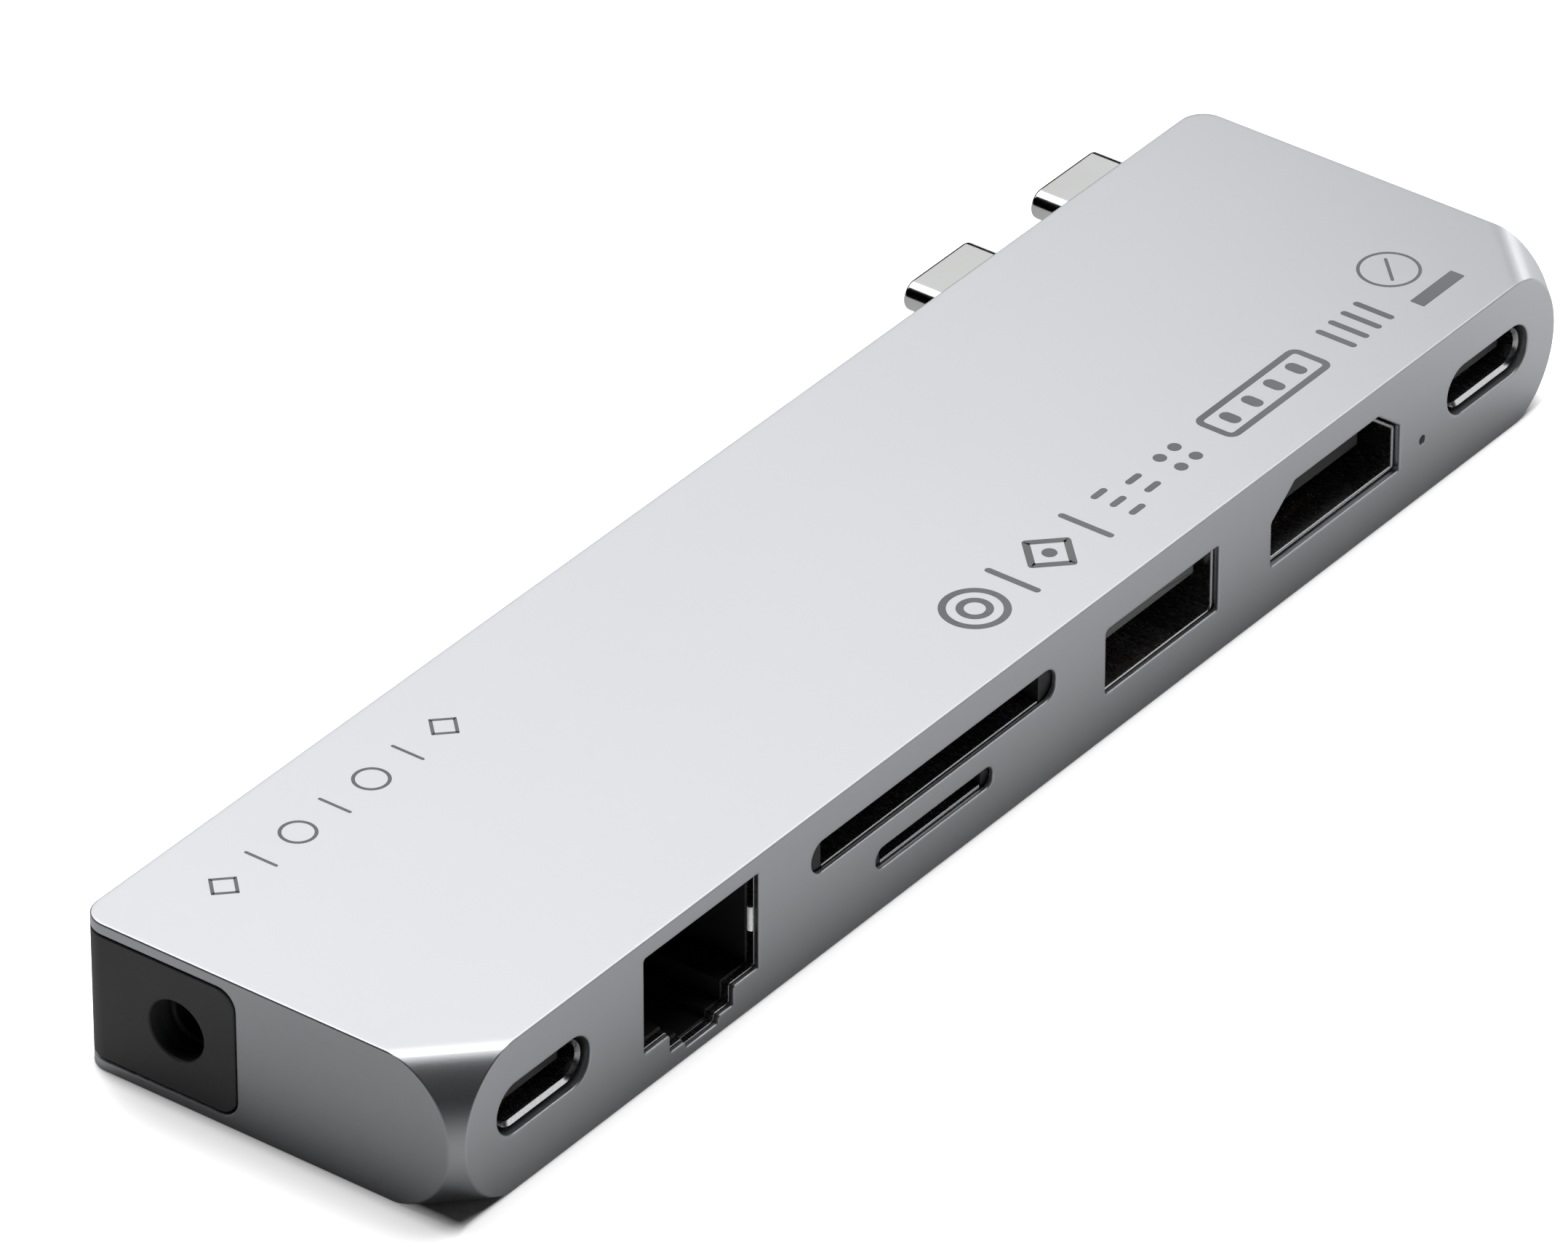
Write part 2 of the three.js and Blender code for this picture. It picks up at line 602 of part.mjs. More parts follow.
// A push-push card reader: an open frame with a sheet-metal lid, a slider in a groove beside the card
// and a comb of spring contacts on the frame's floor. up is 1 with the floor below the card, -1 above.
function cardReader(name, height, up, size) {
  const group = portGroup(SD_X, height);
  const { card, thickness, rail, depth, floor, grooveWidth, toe, travel, contacts, boardSide } = size;
  const zSpan = (a, b) => (up > 0 ? [a, b] : [-b, -a]);
  const half = card / 2 + 0.15;
  const outer = card / 2 + rail;
  const floorTop = -thickness / 2 - 0.05;
  const roof = thickness / 2 + 0.15;
  const back = behindLip + depth;
  const cardEnd = back - 1.5;
  const grooveStart = behindLip + 0.25 * depth;
  const sliderLength = cardEnd - travel - LOOSE_GAP - grooveStart - 1;
  const grooveFar = half + grooveWidth;

  const frame = cut(
    block([-outer, outer], [behindLip, back], zSpan(boardSide, roof)),
    block([-half, half], [behindLip - 1, cardEnd], zSpan(floorTop, roof + 1)),
    block([half - 0.5, grooveFar], [grooveStart, cardEnd], zSpan(floorTop, roof + 1)),
  );
  place(group, name + "_frame", frame, blackPlastic);

  const clear = { side: outer + FIT_GAP, top: roof + FIT_GAP };
  const over = { side: clear.side + READER_SHEET, top: clear.top + READER_SHEET };
  const lid = cut(
    block([-over.side, over.side], [behindLip, back], zSpan(boardSide, over.top)),
    block([-clear.side, clear.side], [behindLip - 1, back + 1], zSpan(boardSide - 1, clear.top)),
  );
  place(group, name + "_lid", lid, steel);

  const z = zSpan(floorTop + 0.15, roof - 0.15);
  const slider = join(
    block([half + 0.15, grooveFar - 0.15], [grooveStart + 0.5, grooveStart + 0.5 + sliderLength], z),
    block([half - toe, half + 0.3], [grooveStart - 0.6 + sliderLength, grooveStart + 0.5 + sliderLength], z),
  );
  place(group, name + "_slider", slider, darkPlastic);

  const { count, pitch, start } = contacts;
  const leafBack = cardEnd - 0.2;
  const leafZ = zSpan(floorTop + 0.05, floorTop + 0.25);
  const leaves = Array.from({ length: count }, (_, i) => {
    const x = start + i * pitch;
    const w = pitch * 0.2;
    return block([x - w, x + w], [leafBack - 0.35 * depth, leafBack], leafZ);
  });
  const last = start + (count - 1) * pitch;
  const spine = block([start - 0.5, last + 0.5], [leafBack - 0.8, leafBack], leafZ);
  place(group, name + "_contacts", join(spine, ...leaves), gold);
}

function usbAReceptacle() {
  const group = portGroup(USB_A_X, USB_A_HEIGHT);
  const { width, height, wall, depth } = USB_A_SHELL;
  const back = behindLip + depth;
  const inner = { width: width - 2 * wall, height: height - 2 * wall };
  const shell = cut(
    prism(roundedRectangle(width, height, 0.6), "y", behindLip, back),
    prism(roundedRectangle(inner.width, inner.height, 0.3), "y", behindLip - 1, back + 1),
  );
  place(group, "usb_a_shell", shell, steel);

  const coreFront = behindLip + 10;
  const tongue = [0.3, 2.14];
  const core = join(
    prism(roundedRectangle(inner.width - FIT_GAP, inner.height - FIT_GAP, 0.3), "y", coreFront, back - 0.2),
    block([-5.6, 5.6], [behindLip + 0.9, coreFront + 0.1], tongue),
  );
  place(group, "usb_a_core", core, blackPlastic);

  const strips = [-3.5, -1, 1, 3.5].map((x) =>
    block([x - 0.5, x + 0.5], [behindLip + 2, coreFront - 0.1], [tongue[0] - 0.3, tongue[0] - 0.05]),
  );
  const spine = block([-4, 4], [coreFront - 0.7, coreFront - 0.1], [tongue[0] - 0.3, tongue[0] - 0.05]);
  place(group, "usb_a_contacts", join(spine, ...strips), gold);
}

function videoReceptacle() {
  const group = portGroup(VIDEO_X, VIDEO_HEIGHT);
  const { wall, depth } = VIDEO_SHELL;
  const mouth = 0.4;
  const edge = 0.15; // gap between the shell and the opening in the wall
  const shell = cut(
    prism(videoOutline(edge), "y", mouth, depth),
    prism(videoOutline(edge + wall), "y", mouth - 1, depth + 1),
  );
  place(group, "video_shell", shell, steel);
  const coreFront = 7.6;
  const core = join(
    prism(videoOutline(edge + wall + FIT_GAP / 2), "y", coreFront, depth - 0.2),
    block([-5.7, 5.7], [2.2, coreFront + 0.1], [-0.6, 0.6]),
  );
  place(group, "video_core", core, blackPlastic);
}

function statusLight() {
  const group = portGroup(STATUS_X, STATUS_HEIGHT);
  const rod = bar(STATUS_HOLE / 2 - 0.08, "y", 0.15, WALL + 0.4, 0, 0, 12);
  const foot = block([-1, 1], [WALL + FIT_GAP, 3.4], [-0.35, 0.2]);
  place(group, "status_light_pipe", join(rod, foot), clearPipe);
  place(group, "status_led", block([-0.8, 0.8], [3.5, 4.3], [-0.4, 0.2]), lampWhite);
}

// ---------------------------------------------------------------- plugs at the back
function plug(name, fromLeft) {
  const group = new THREE.Group();
  group.position.set(LEFT + fromLeft, BACK, PLUG_HEIGHT);
  hub.add(group);
  const { width, height, wall, inside } = PLUG_SHELL;
  const shell = cut(
    prism(stadium(width, height), "y", -inside, PLUG_LENGTH),
    prism(stadium(width - 2 * wall, height - 2 * wall), "y", -inside - 1, PLUG_LENGTH + 1),
  );
  place(group, name + "_shell", shell, brightSteel);

  const inner = { width: width - 2 * wall - FIT_GAP, height: height - 2 * wall - FIT_GAP };
  const recess = 0.25;
  const { width: w, height: h, depth } = PLUG_SOCKET;
  const core = cut(
    prism(stadium(inner.width, inner.height), "y", 0.3 - inside, PLUG_LENGTH - recess),
    prism(stadium(w, h), "y", PLUG_LENGTH - depth, PLUG_LENGTH + 1),
  );
  place(group, name + "_core", core, blackPlastic);
}

function plugMount() {
  const x = [LEFT + bracketLeft, LEFT + bracketRight];
  const slots = plugPlaces.map((fromLeft) =>
    prism(
      stadium(PLUG_SHELL.width + FIT_GAP, PLUG_SHELL.height + FIT_GAP, LEFT + fromLeft, PLUG_HEIGHT),
      "y",
      bracketFront - 1,
      INSIDE.back + 1,
    ),
  );
  const holes = bracketScrews.map(([place0, y]) =>
    bar(SCREW_HOLE, "z", bracketZ[0] - 1, bracketZ[1] + 1, LEFT + place0, y, 12),
  );
  // the screws pass up through the bracket, so their heads sit in counterbores from below
  const heads = bracketScrews.map(([place0, y]) =>
    bar(SCREW.head + FIT_GAP, "z", bracketZ[0] - 1, bracketSeat, LEFT + place0, y, 16),
  );
  const lump = block(x, [bracketFront, bracketFront + BRACKET.depth], bracketZ);
  place(hub, "plug_bracket", cut(lump, ...slots, ...holes, ...heads), darkPlastic);

  const carrier = block(
    [x[0], x[1]],
    [carrierFront, Math.min(carrierBack, plugBack - FIT_GAP)],
    [carrierBottom, carrierTop],
  );
  place(hub, "plug_carrier_board", carrier, boardGreen);

  // a flat ribbon drops from the carrier board to the main board
  const middle = LEFT + plugPlaces[0];
  const edge = carrierFront;
  const ribbon = polygon([
    [edge + 2.5, carrierTop + 0.05],
    [edge + 2.5, carrierTop + 0.25],
    [edge - 0.5, carrierTop + 0.25],
    [edge - 1.6, BOARD_TOP + 0.25],
    [edge - 3.8, BOARD_TOP + 0.25],
    [edge - 3.8, BOARD_TOP + 0.05],
    [edge - 1.7, BOARD_TOP + 0.05],
    [edge - 0.6, carrierTop + 0.05],
  ]);
  place(hub, "board_ribbon", prism(ribbon, "x", middle - 2, middle + 5), gold);
}

// ---------------------------------------------------------------- boards, chips, fasteners
function mainBoard() {
  const gap = LOOSE_GAP;
  const sheet = prism(innerOutline(WALL + gap), "z", boardBottom, BOARD_TOP);
  const notch = (fromLeft, halfWidth, depth) =>
    block(
      [LEFT + fromLeft - halfWidth - gap, LEFT + fromLeft + halfWidth + gap],
      [FRONT - 1, FRONT + depth + gap],
      [boardBottom - 1, BOARD_TOP + 1],
    );
  const shieldHalf = ETHERNET_BODY.width / 2 + ETHERNET_SHIELD + FIT_GAP;
  const ethernetBack = behindLip + ETHERNET_BODY.depth + ETHERNET_SHIELD + FIT_GAP;
  const jackEnd = INSIDE.left + INSERT_FLANGE.thickness + 2 * FIT_GAP + JACK_BODY.length + gap;
  const jackCorner = Math.min(insertFront + INSERT_FLANGE.setIn, jackY - JACK_BODY.width / 2);
  const notches = [
    notch(usbCPlaces.left, USB_C_SHELL.width / 2, USB_C_SHELL.depth + 0.6),
    notch(usbCPlaces.right, USB_C_SHELL.width / 2, USB_C_SHELL.depth + 0.6),
    notch(ETHERNET_X, shieldHalf, ethernetBack),
    notch(USB_A_X, USB_A_SHELL.width / 2, behindLip + USB_A_SHELL.depth),
    notch(VIDEO_X, VIDEO_CUTOUT.width / 2, VIDEO_SHELL.depth),
    block([LEFT, jackEnd], [jackCorner - gap, BACK], [boardBottom - 1, BOARD_TOP + 1]),
    block(
      [LEFT + bracketLeft - gap, RIGHT],
      [carrierFront - gap, BACK],
      [boardBottom - 1, BOARD_TOP + 1],
    ),
  ];
  const holes = boardScrews.map(([x, y]) =>
    bar(SCREW_HOLE, "z", boardBottom - 1, BOARD_TOP + 1, LEFT + x, y, 12),
  );
  place(hub, "main_board", cut(sheet, ...notches, ...holes), boardGreen);
}

// A pan-head screw driven upwards: head below z, shank above.
function screw(name, fromLeft, y, z, length) {
  const { shank, head, headHeight } = SCREW;
  const profile = [
    [0, -headHeight],
    [head * 0.8, -headHeight],
    [head, -headHeight * 0.55],
    [head, 0],
    [shank, 0],
    [shank, length - 0.4],
    [0, length],
  ].map(([r, h]) => new THREE.Vector2(r, h));
  const lathe = new THREE.LatheGeometry(profile, 12).rotateX(Math.PI / 2);
  const mesh = new THREE.Mesh(geometryOf(solid(lathe)), steel);
  mesh.name = name;
  mesh.position.set(LEFT + fromLeft, y, z);
  hub.add(mesh);
}

// Chips sit on either side of the main board; x and y are measured from the left end and the port face.
function chip(name, fromLeft, fromFront, [width, depth, thickness], side, finish = chipBlack) {
  const z = side > 0 ? BOARD_TOP : boardBottom - thickness;
  const mesh = new THREE.Mesh(new THREE.BoxGeometry(width, depth, thickness), finish);
  mesh.name = name;
  mesh.position.set(LEFT + fromLeft, FRONT + fromFront, z + thickness / 2);
  hub.add(mesh);
}

function electronics() {
  const usbAEnd = behindLip + USB_A_SHELL.depth;
  const rowY = between(usbAEnd, WIDTH - WALL);
  const hubChip = [8, 7, 0.9];
  chip("hub_controller_chip", USB_A_X, rowY, hubChip, 1);
  const pad = new THREE.Mesh(
    new THREE.BoxGeometry(hubChip[0], hubChip[1], CEILING - BOARD_TOP - hubChip[2]),
    padGrey,
  );
  pad.name = "thermal_pad";
  pad.position.set(LEFT + USB_A_X, FRONT + rowY, between(CEILING, BOARD_TOP + hubChip[2]));
  hub.add(pad);

  const gapX = between(usbAEdges[1], videoEdges[0]);
  const canX = usbAEdges[1] + LOOSE_GAP + SHIELD_CAN.half;
  const canY = VIDEO_SHELL.depth + LOOSE_GAP + SHIELD_CAN.half;
  chip("display_converter_chip", canX, canY, [4.5, 4.5, 0.8], 1);
  chip("ethernet_magnetics", ETHERNET_X, WIDTH - WALL - 4.2, [12.7, 6, 3], 1);
  chip("ethernet_controller_chip", ETHERNET_X, WIDTH - WALL - 4.4, [6, 6, 0.8], -1);
  chip("card_reader_chip", SD_X - 3, behindLip + MICROSD_DEPTH + 6, [5, 5, 0.8], -1);
  chip("power_controller_chip", USB_A_X - 1, rowY, [5, 5, 0.8], -1);
  chip("power_inductor_1", USB_A_X + 6.5, rowY, [4, 4, 2], -1);
  chip("power_inductor_2", gapX, 8, [2.4, 4, 1.8], 1);
  chip("clock_crystal", between(sdEdges[1], usbAEdges[0]), 9, [2.5, 3.2, 0.7], 1, steel);

  // a sheet-metal can stands over the display converter
  const { half, height, sheet } = SHIELD_CAN;
  const around = (centre, reach) => [centre - reach, centre + reach];
  const can = cut(
    block(around(LEFT + canX, half), around(FRONT + canY, half), [BOARD_TOP, BOARD_TOP + height]),
    block(
      around(LEFT + canX, half - sheet),
      around(FRONT + canY, half - sheet),
      [BOARD_TOP - 1, BOARD_TOP + height - sheet],
    ),
  );
  place(hub, "shield_can", can, steel);
}

function undersideCover() {
  const plate = prism(innerOutline(WALL + FIT_GAP), "z", 0, COVER_THICKNESS);
  const hooks = hookPlaces.map(([x, side]) => {
    const wall = side < 0 ? INSIDE.front : INSIDE.back;
    const stem = wall - side * (RIB.depth + FIT_GAP);
    const middle = [LEFT + x - HOOK.width / 2, LEFT + x + HOOK.width / 2];
    const span = (a, b) => [Math.min(a, b), Math.max(a, b)];
    const top = HOOK.barbZ + HOOK.barbHeight;
    return join(
      block(middle, span(stem, stem - side * HOOK.thickness), [COVER_THICKNESS / 2, top]),
      block(middle, span(stem + side * HOOK.barb, stem - side * 0.1), [HOOK.barbZ, top]),
    );
  });
  return join(plate, ...hooks);
}

// ---------------------------------------------------------------- the whole hub
place(hub, "housing", housing(), anodised);
place(hub, "underside_cover", undersideCover(), anodised);
place(hub, "jack_end_insert", jackInsert(), darkPlastic);
audioJack();
usbCReceptacle("usb_c_left", usbCPlaces.left);
usbCReceptacle("usb_c_right", usbCPlaces.right);
ethernetJack();
cardReader("sd", SD_HEIGHT, 1, {
  card: SD_CARD.width,
  thickness: SD_CARD.thickness,
  rail: SD_RAIL,
  depth: SD_DEPTH,
  grooveWidth: 1.4,
  toe: 3.4,
  travel: SD_TRAVEL,
  boardSide: BOARD_TOP - SD_HEIGHT,
  contacts: { count: 9, pitch: 2.1, start: -10 },
});
cardReader("microsd", MICROSD_HEIGHT, -1, {
  card: MICROSD_CARD.width,
  thickness: MICROSD_CARD.thickness,
  rail: MICROSD_RAIL,
  depth: MICROSD_DEPTH,
  grooveWidth: 1.1,
  toe: 2.2,
  travel: MICROSD_TRAVEL,
  boardSide: MICROSD_HEIGHT - boardBottom,
  contacts: { count: 8, pitch: 1.05, start: -4.6 },
});
usbAReceptacle();
videoReceptacle();
statusLight();
plug("usb_c_plug_1", plugPlaces[0]);
plug("usb_c_plug_2", plugPlaces[1]);
plugMount();
mainBoard();
electronics();
boardScrews.forEach(([x, y], i) => {
  screw("board_screw_" + (i + 1), x, y, boardBottom, BOARD_SCREW_LENGTH);
});
bracketScrews.forEach(([x, y], i) => {
  screw("bracket_screw_" + (i + 1), x, y, bracketSeat, BRACKET_SCREW.length);
});

export default hub;
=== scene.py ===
# %% [markdown]
# # A slim aluminium hub
# The hub is a milled aluminium tray with a row of sockets along one side, an audio jack at its left end
# and two plugs at its back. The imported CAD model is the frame: it says where every piece is and what moves.
# This script makes the surfaces that are seen, finer than the CAD solids, in the same place.

# %% Load the frame
import json
import math

import bmesh
import bpy
import numpy as np
from mathutils import Matrix, Vector
from mathutils.geometry import delaunay_2d_cdt


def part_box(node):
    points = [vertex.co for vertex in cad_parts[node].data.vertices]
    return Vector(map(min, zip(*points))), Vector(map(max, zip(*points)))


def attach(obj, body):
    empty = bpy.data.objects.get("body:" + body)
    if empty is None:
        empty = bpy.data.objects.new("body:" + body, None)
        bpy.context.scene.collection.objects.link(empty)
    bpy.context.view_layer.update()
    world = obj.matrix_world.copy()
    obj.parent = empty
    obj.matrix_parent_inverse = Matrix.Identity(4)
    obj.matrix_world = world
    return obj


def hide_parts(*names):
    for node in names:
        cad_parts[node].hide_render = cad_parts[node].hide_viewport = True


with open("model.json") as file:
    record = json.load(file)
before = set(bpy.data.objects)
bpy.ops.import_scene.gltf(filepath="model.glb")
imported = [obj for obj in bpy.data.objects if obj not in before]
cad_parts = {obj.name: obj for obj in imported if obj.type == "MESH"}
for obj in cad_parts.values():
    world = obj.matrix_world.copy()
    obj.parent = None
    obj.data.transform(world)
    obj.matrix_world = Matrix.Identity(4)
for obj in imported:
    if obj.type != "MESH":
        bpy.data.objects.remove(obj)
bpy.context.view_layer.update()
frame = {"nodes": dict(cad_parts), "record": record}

# %% [markdown]
# Blender works in metres, but a hub is a thing of tenths of a millimetre. So every size below is in
# millimetres, and a mesh is brought to metres once, when it is made. `span` gives a CAD node's lowest and
# highest corners, which is how each piece finds its place.

# %% Units and places
MM = 0.001
HUB = "hub_body"


def span(node):
    """The lowest and highest corner of a CAD node, in millimetres."""
    low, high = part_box(node)
    return np.array(low) / MM, np.array(high) / MM


def middle(node):
    """Half the sum of a node's lowest and highest corner."""
    low, high = span(node)
    return (low + high) / 2


body_low, body_high = span("housing")
LENGTH, WIDTH, HEIGHT = body_high - body_low
LEFT, FRONT = body_low[0], body_low[1]
RIGHT, BACK = body_high[0], body_high[1]
print("housing, mm:", LENGTH, WIDTH, HEIGHT)

# %% [markdown]
# ## Outlines
# Nearly every shape on the hub is an outline with rounded corners: the body seen from above, each opening,
# each socket. One function makes them all. A corner is replaced by an arc that touches both of its edges,
# so an outline is a short list of corners and a radius, never a long list of points.

# %% Rounded outlines
def rounded(corners, radii, steps=6):
    """An outline with its corners rounded, as an array of points.

    Formula: a corner P where the direction turns by t becomes an arc of radius r that starts r tan(t/2)
    before P. Its centre is r to the side it turns to, and its points are the start turned about the centre
    by equal shares of t. A corner that turns right (a notch) turns the other way round.
    """
    P = np.asarray(corners, float)
    r = np.broadcast_to(np.asarray(radii, float), len(P))
    a = P - np.roll(P, 1, 0)
    b = np.roll(P, -1, 0) - P
    a /= np.linalg.norm(a, axis=1)[:, None]
    b /= np.linalg.norm(b, axis=1)[:, None]
    turn = np.arctan2(a[:, 0] * b[:, 1] - a[:, 1] * b[:, 0], (a * b).sum(1))
    side = np.sign(turn)
    start = P - a * (r * np.tan(abs(turn) / 2))[:, None]
    centre = start + np.stack([-a[:, 1], a[:, 0]], 1) * (r * side)[:, None]
    angle = turn[:, None] * np.linspace(0, 1, steps + 1)
    c, s = np.cos(angle), np.sin(angle)
    d = start - centre
    x = centre[:, :1] + c * d[:, :1] - s * d[:, 1:]
    y = centre[:, 1:] + s * d[:, :1] + c * d[:, 1:]
    return np.stack([x, y], -1).reshape(-1, 2)


def box_corners(width, height):
    """The four corners of a rectangle about the origin, anticlockwise."""
    w, h = width / 2, height / 2
    return [(-w, -h), (w, -h), (w, h), (-w, h)]


def slot_outline(width, height, steps=10):
    """A rectangle with full-round ends: radius is half the height."""
    return rounded(box_corners(width, height), height / 2 - 1e-3, steps)


def grow(outline, distance):
    """An outline moved outwards: each point moves along the mean of its two edge normals, divided by the
    cosine of half the angle between them so that the edges keep the full distance."""
    nxt = np.roll(outline, -1, 0) - outline
    prv = outline - np.roll(outline, 1, 0)
    keep = lambda e: e / np.maximum(np.linalg.norm(e, axis=1), 1e-9)[:, None]
    n1 = keep(np.stack([nxt[:, 1], -nxt[:, 0]], 1))
    n2 = keep(np.stack([prv[:, 1], -prv[:, 0]], 1))
    n = keep(n1 + n2)
    stretch = np.maximum((n * n1).sum(1), 0.5)
    return outline + n * (distance / stretch)[:, None]


# %% [markdown]
# ## Making a mesh
# A piece is built as rings: the same outline at several depths, joined by quads. `loft` joins them, closes
# the ends with one flat face each, or joins the last ring to the first for a sheet-metal tube. Meshes are
# merged and their normals made to point outwards, then shaded smooth between sharp edges.

# %% Mesh helpers
def new_piece(name, points, faces, material=None, sharp=35.0, weighted=True):
    """A mesh object from points in millimetres. Doubles within a tenth of a micron are merged."""
    mesh = bpy.data.meshes.new(name)
    mesh.from_pydata((np.asarray(points) * MM).tolist(), [], faces)
    piece = bpy.data.objects.new(name, mesh)
    bpy.context.scene.collection.objects.link(piece)
    bm = bmesh_of(mesh)
    bm.to_mesh(mesh)
    bm.free()
    mesh.shade_smooth()
    mesh.set_sharp_from_angle(angle=math.radians(sharp))
    if material:
        mesh.materials.append(material)
    if weighted:
        normals = piece.modifiers.new("even_normals", "WEIGHTED_NORMAL")
        normals.keep_sharp = True
        normals.weight = 100
    return piece


def bmesh_of(mesh):
    """The mesh with doubles merged, empty faces removed and faces turned outwards."""
    bm = bmesh.new()
    bm.from_mesh(mesh)
    bmesh.ops.remove_doubles(bm, verts=bm.verts, dist=1e-7)
    bmesh.ops.dissolve_degenerate(bm, dist=1e-8, edges=bm.edges)
    bmesh.ops.recalc_face_normals(bm, faces=bm.faces)
    open_edges = sum(1 for e in bm.edges if len(e.link_faces) != 2)
    if open_edges:
        print("   open edges in", mesh.name, open_edges)
    return bm


def loft(rings, closed=False, caps=(True, True)):
    """Points and quads through equal rings: point j of ring i joins point j of ring i + 1."""
    rings = np.asarray(rings, float)
    count, n = rings.shape[:2]
    i, j = np.meshgrid(np.arange(count if closed else count - 1), np.arange(n), indexing="ij")
    i2, j2 = (i + 1) % count, (j + 1) % n
    quads = np.stack([i * n + j, i * n + j2, i2 * n + j2, i2 * n + j], -1).reshape(-1, 4).tolist()
    if not closed and caps[0]:
        quads.append(list(range(n))[::-1])
    if not closed and caps[1]:
        quads.append([(count - 1) * n + k for k in range(n)])
    return rings.reshape(-1, 3), quads


def joined(parts):
    """Several (points, faces) pairs as one pair, with the later faces counted on."""
    points, faces, first = [], [], 0
    for p, f in parts:
        points.append(np.asarray(p, float))
        faces += [[first + k for k in face] for face in f]
        first += len(p)
    return np.concatenate(points), faces


def ring(outline, centre, depth, axis="y"):
    """A flat outline stood up at a depth: across y it is drawn in (x, z), across x in (y, z), across z in
    (x, y)."""
    u, v = outline[:, 0], outline[:, 1]
    w = np.full(len(u), depth)
    cx, cy, cz = centre
    if axis == "y":
        return np.stack([cx + u, cy + w, cz + v], 1)
    if axis == "x":
        return np.stack([cx + w, cy + u, cz + v], 1)
    return np.stack([cx + u, cy + v, cz + w], 1)


def soft_bar(outline, centre, start, end, edge, axis="y", steps=3):
    """A solid bar of an outline with both end edges rounded.

    Formula: near an end the outline shrinks by e (1 - cos a) while the depth moves by e sin a, for a from
    0 to a right angle, which is a quarter round of radius e.
    """
    a = np.linspace(0, math.pi / 2, steps + 1)
    shrink = edge * (1 - np.cos(a))
    move = edge * (1 - np.sin(a))
    rings = [ring(grow(outline, -s), centre, start + m, axis) for s, m in zip(shrink[::-1], move[::-1])]
    rings += [ring(grow(outline, -s), centre, end - m, axis) for s, m in zip(shrink, move)]
    return loft(rings)


def soft_block(low, high, edge, steps=2):
    """A block with all edges rounded: a rounded rectangle as a soft bar along z."""
    low, high = np.asarray(low, float), np.asarray(high, float)
    size, centre = high - low, (low + high) / 2
    edge = min(edge, 0.49 * size.min())
    outline = rounded(box_corners(size[0], size[1]), edge, steps + 1)
    return soft_bar(outline, centre, -size[2] / 2, size[2] / 2, edge * 0.98, "z", steps)


def sheet_tube(outline, centre, start, end, wall, lip=0.5, axis="y", steps=4, flared=False):
    """A sheet-metal tube, its mouth (at start) rolled to a half round and its back cut square.

    Formula: going round the wall's section, the half round at the mouth has its inset w (1 - cos a) / 2
    and its depth w lip (1 - sin a) for a from 0 to half a turn. A flared mouth is a 45 degree slope
    instead, from a thin front edge to the inner wall.
    """
    a = np.linspace(0, math.pi, 2 * steps + 1)
    way = 1 if end > start else -1
    inset = wall * (1 - np.cos(a)) / 2
    back = wall * lip * (1 - np.sin(a))
    if flared:
        inset, back = wall * np.array([0, 0.1, 0.95, 1]), wall * np.array([0.1, 0, 0.85, 1])
    depth = start + way * back
    rings = [ring(outline, centre, end, axis)]
    rings += [ring(grow(outline, -s), centre, d, axis) for s, d in zip(inset, depth)]
    rings += [ring(grow(outline, -wall), centre, end, axis)]
    return loft(rings, closed=True)


def drilled(outline, hole, centre, start, end, blind=None, edge=0.1, rim=0.1, axis="y", steps=3):
    """A solid bar with a shaped hole in its front face, at start. The hole goes right through, or to a
    blind depth. Both its mouth and the bar's edges are rounded.

    Formula: at the front the outline is e (1 - sin a) smaller and the hole r (1 - sin a) larger at depths
    e (1 - cos a) and r (1 - cos a), for a from 0 to a right angle.
    """
    way = 1 if end > start else -1
    a = np.linspace(0, math.pi / 2, steps + 1)
    at = lambda shape, depth: ring(shape, centre, start + way * depth, axis)
    length = abs(end - start)
    flat, triangles = sheet_with_holes(grow(outline, -edge), [grow(hole, rim)])
    parts = [(at(flat, 0), triangles)]
    outer = [at(grow(outline, -edge * (1 - math.sin(t))), edge * (1 - math.cos(t))) for t in a]
    outer += [at(grow(outline, -edge * (1 - math.sin(t))), length - edge * (1 - math.cos(t)))
              for t in a[::-1]]
    inner = [at(grow(hole, rim * (1 - math.sin(t))), rim * (1 - math.cos(t))) for t in a]
    inner.append(at(hole, blind or length))
    parts.append(loft(outer, caps=(False, bool(blind))))
    parts.append(loft(inner, caps=(False, bool(blind))))
    if not blind:
        flat, triangles = sheet_with_holes(grow(outline, -edge), [hole])
        parts.append((at(flat, length), triangles))
    return joined(parts)


def strips(centres, size, centre, edge=0.02):
    """Small equal blocks at given offsets from a centre, as one mesh."""
    half = np.array(size) / 2
    return joined([soft_block(centre + c - half, centre + c + half, edge, 1) for c in np.array(centres)])


# %% [markdown]
# ## Materials
# The housing is bead-blasted and anodised: a matt metal with a very fine grain. Each material here is a
# few noise patterns on Object coordinates, so that the grain has a real size in metres and doesn't slide.
# Numbers that are the same everywhere, such as metalness, are set on the shader itself.

# %% Material helpers
def new_material(name, metallic, ior=1.5):
    """A material with its shader, its links and its Object coordinates."""
    material = bpy.data.materials.new(name)
    material.use_nodes = True
    nodes, links = material.node_tree.nodes, material.node_tree.links
    shader = nodes["Principled BSDF"]
    shader.inputs["Metallic"].default_value = metallic
    shader.inputs["IOR"].default_value = ior
    place = nodes.new("ShaderNodeTexCoord").outputs["Object"]
    return material, nodes, links, shader, place


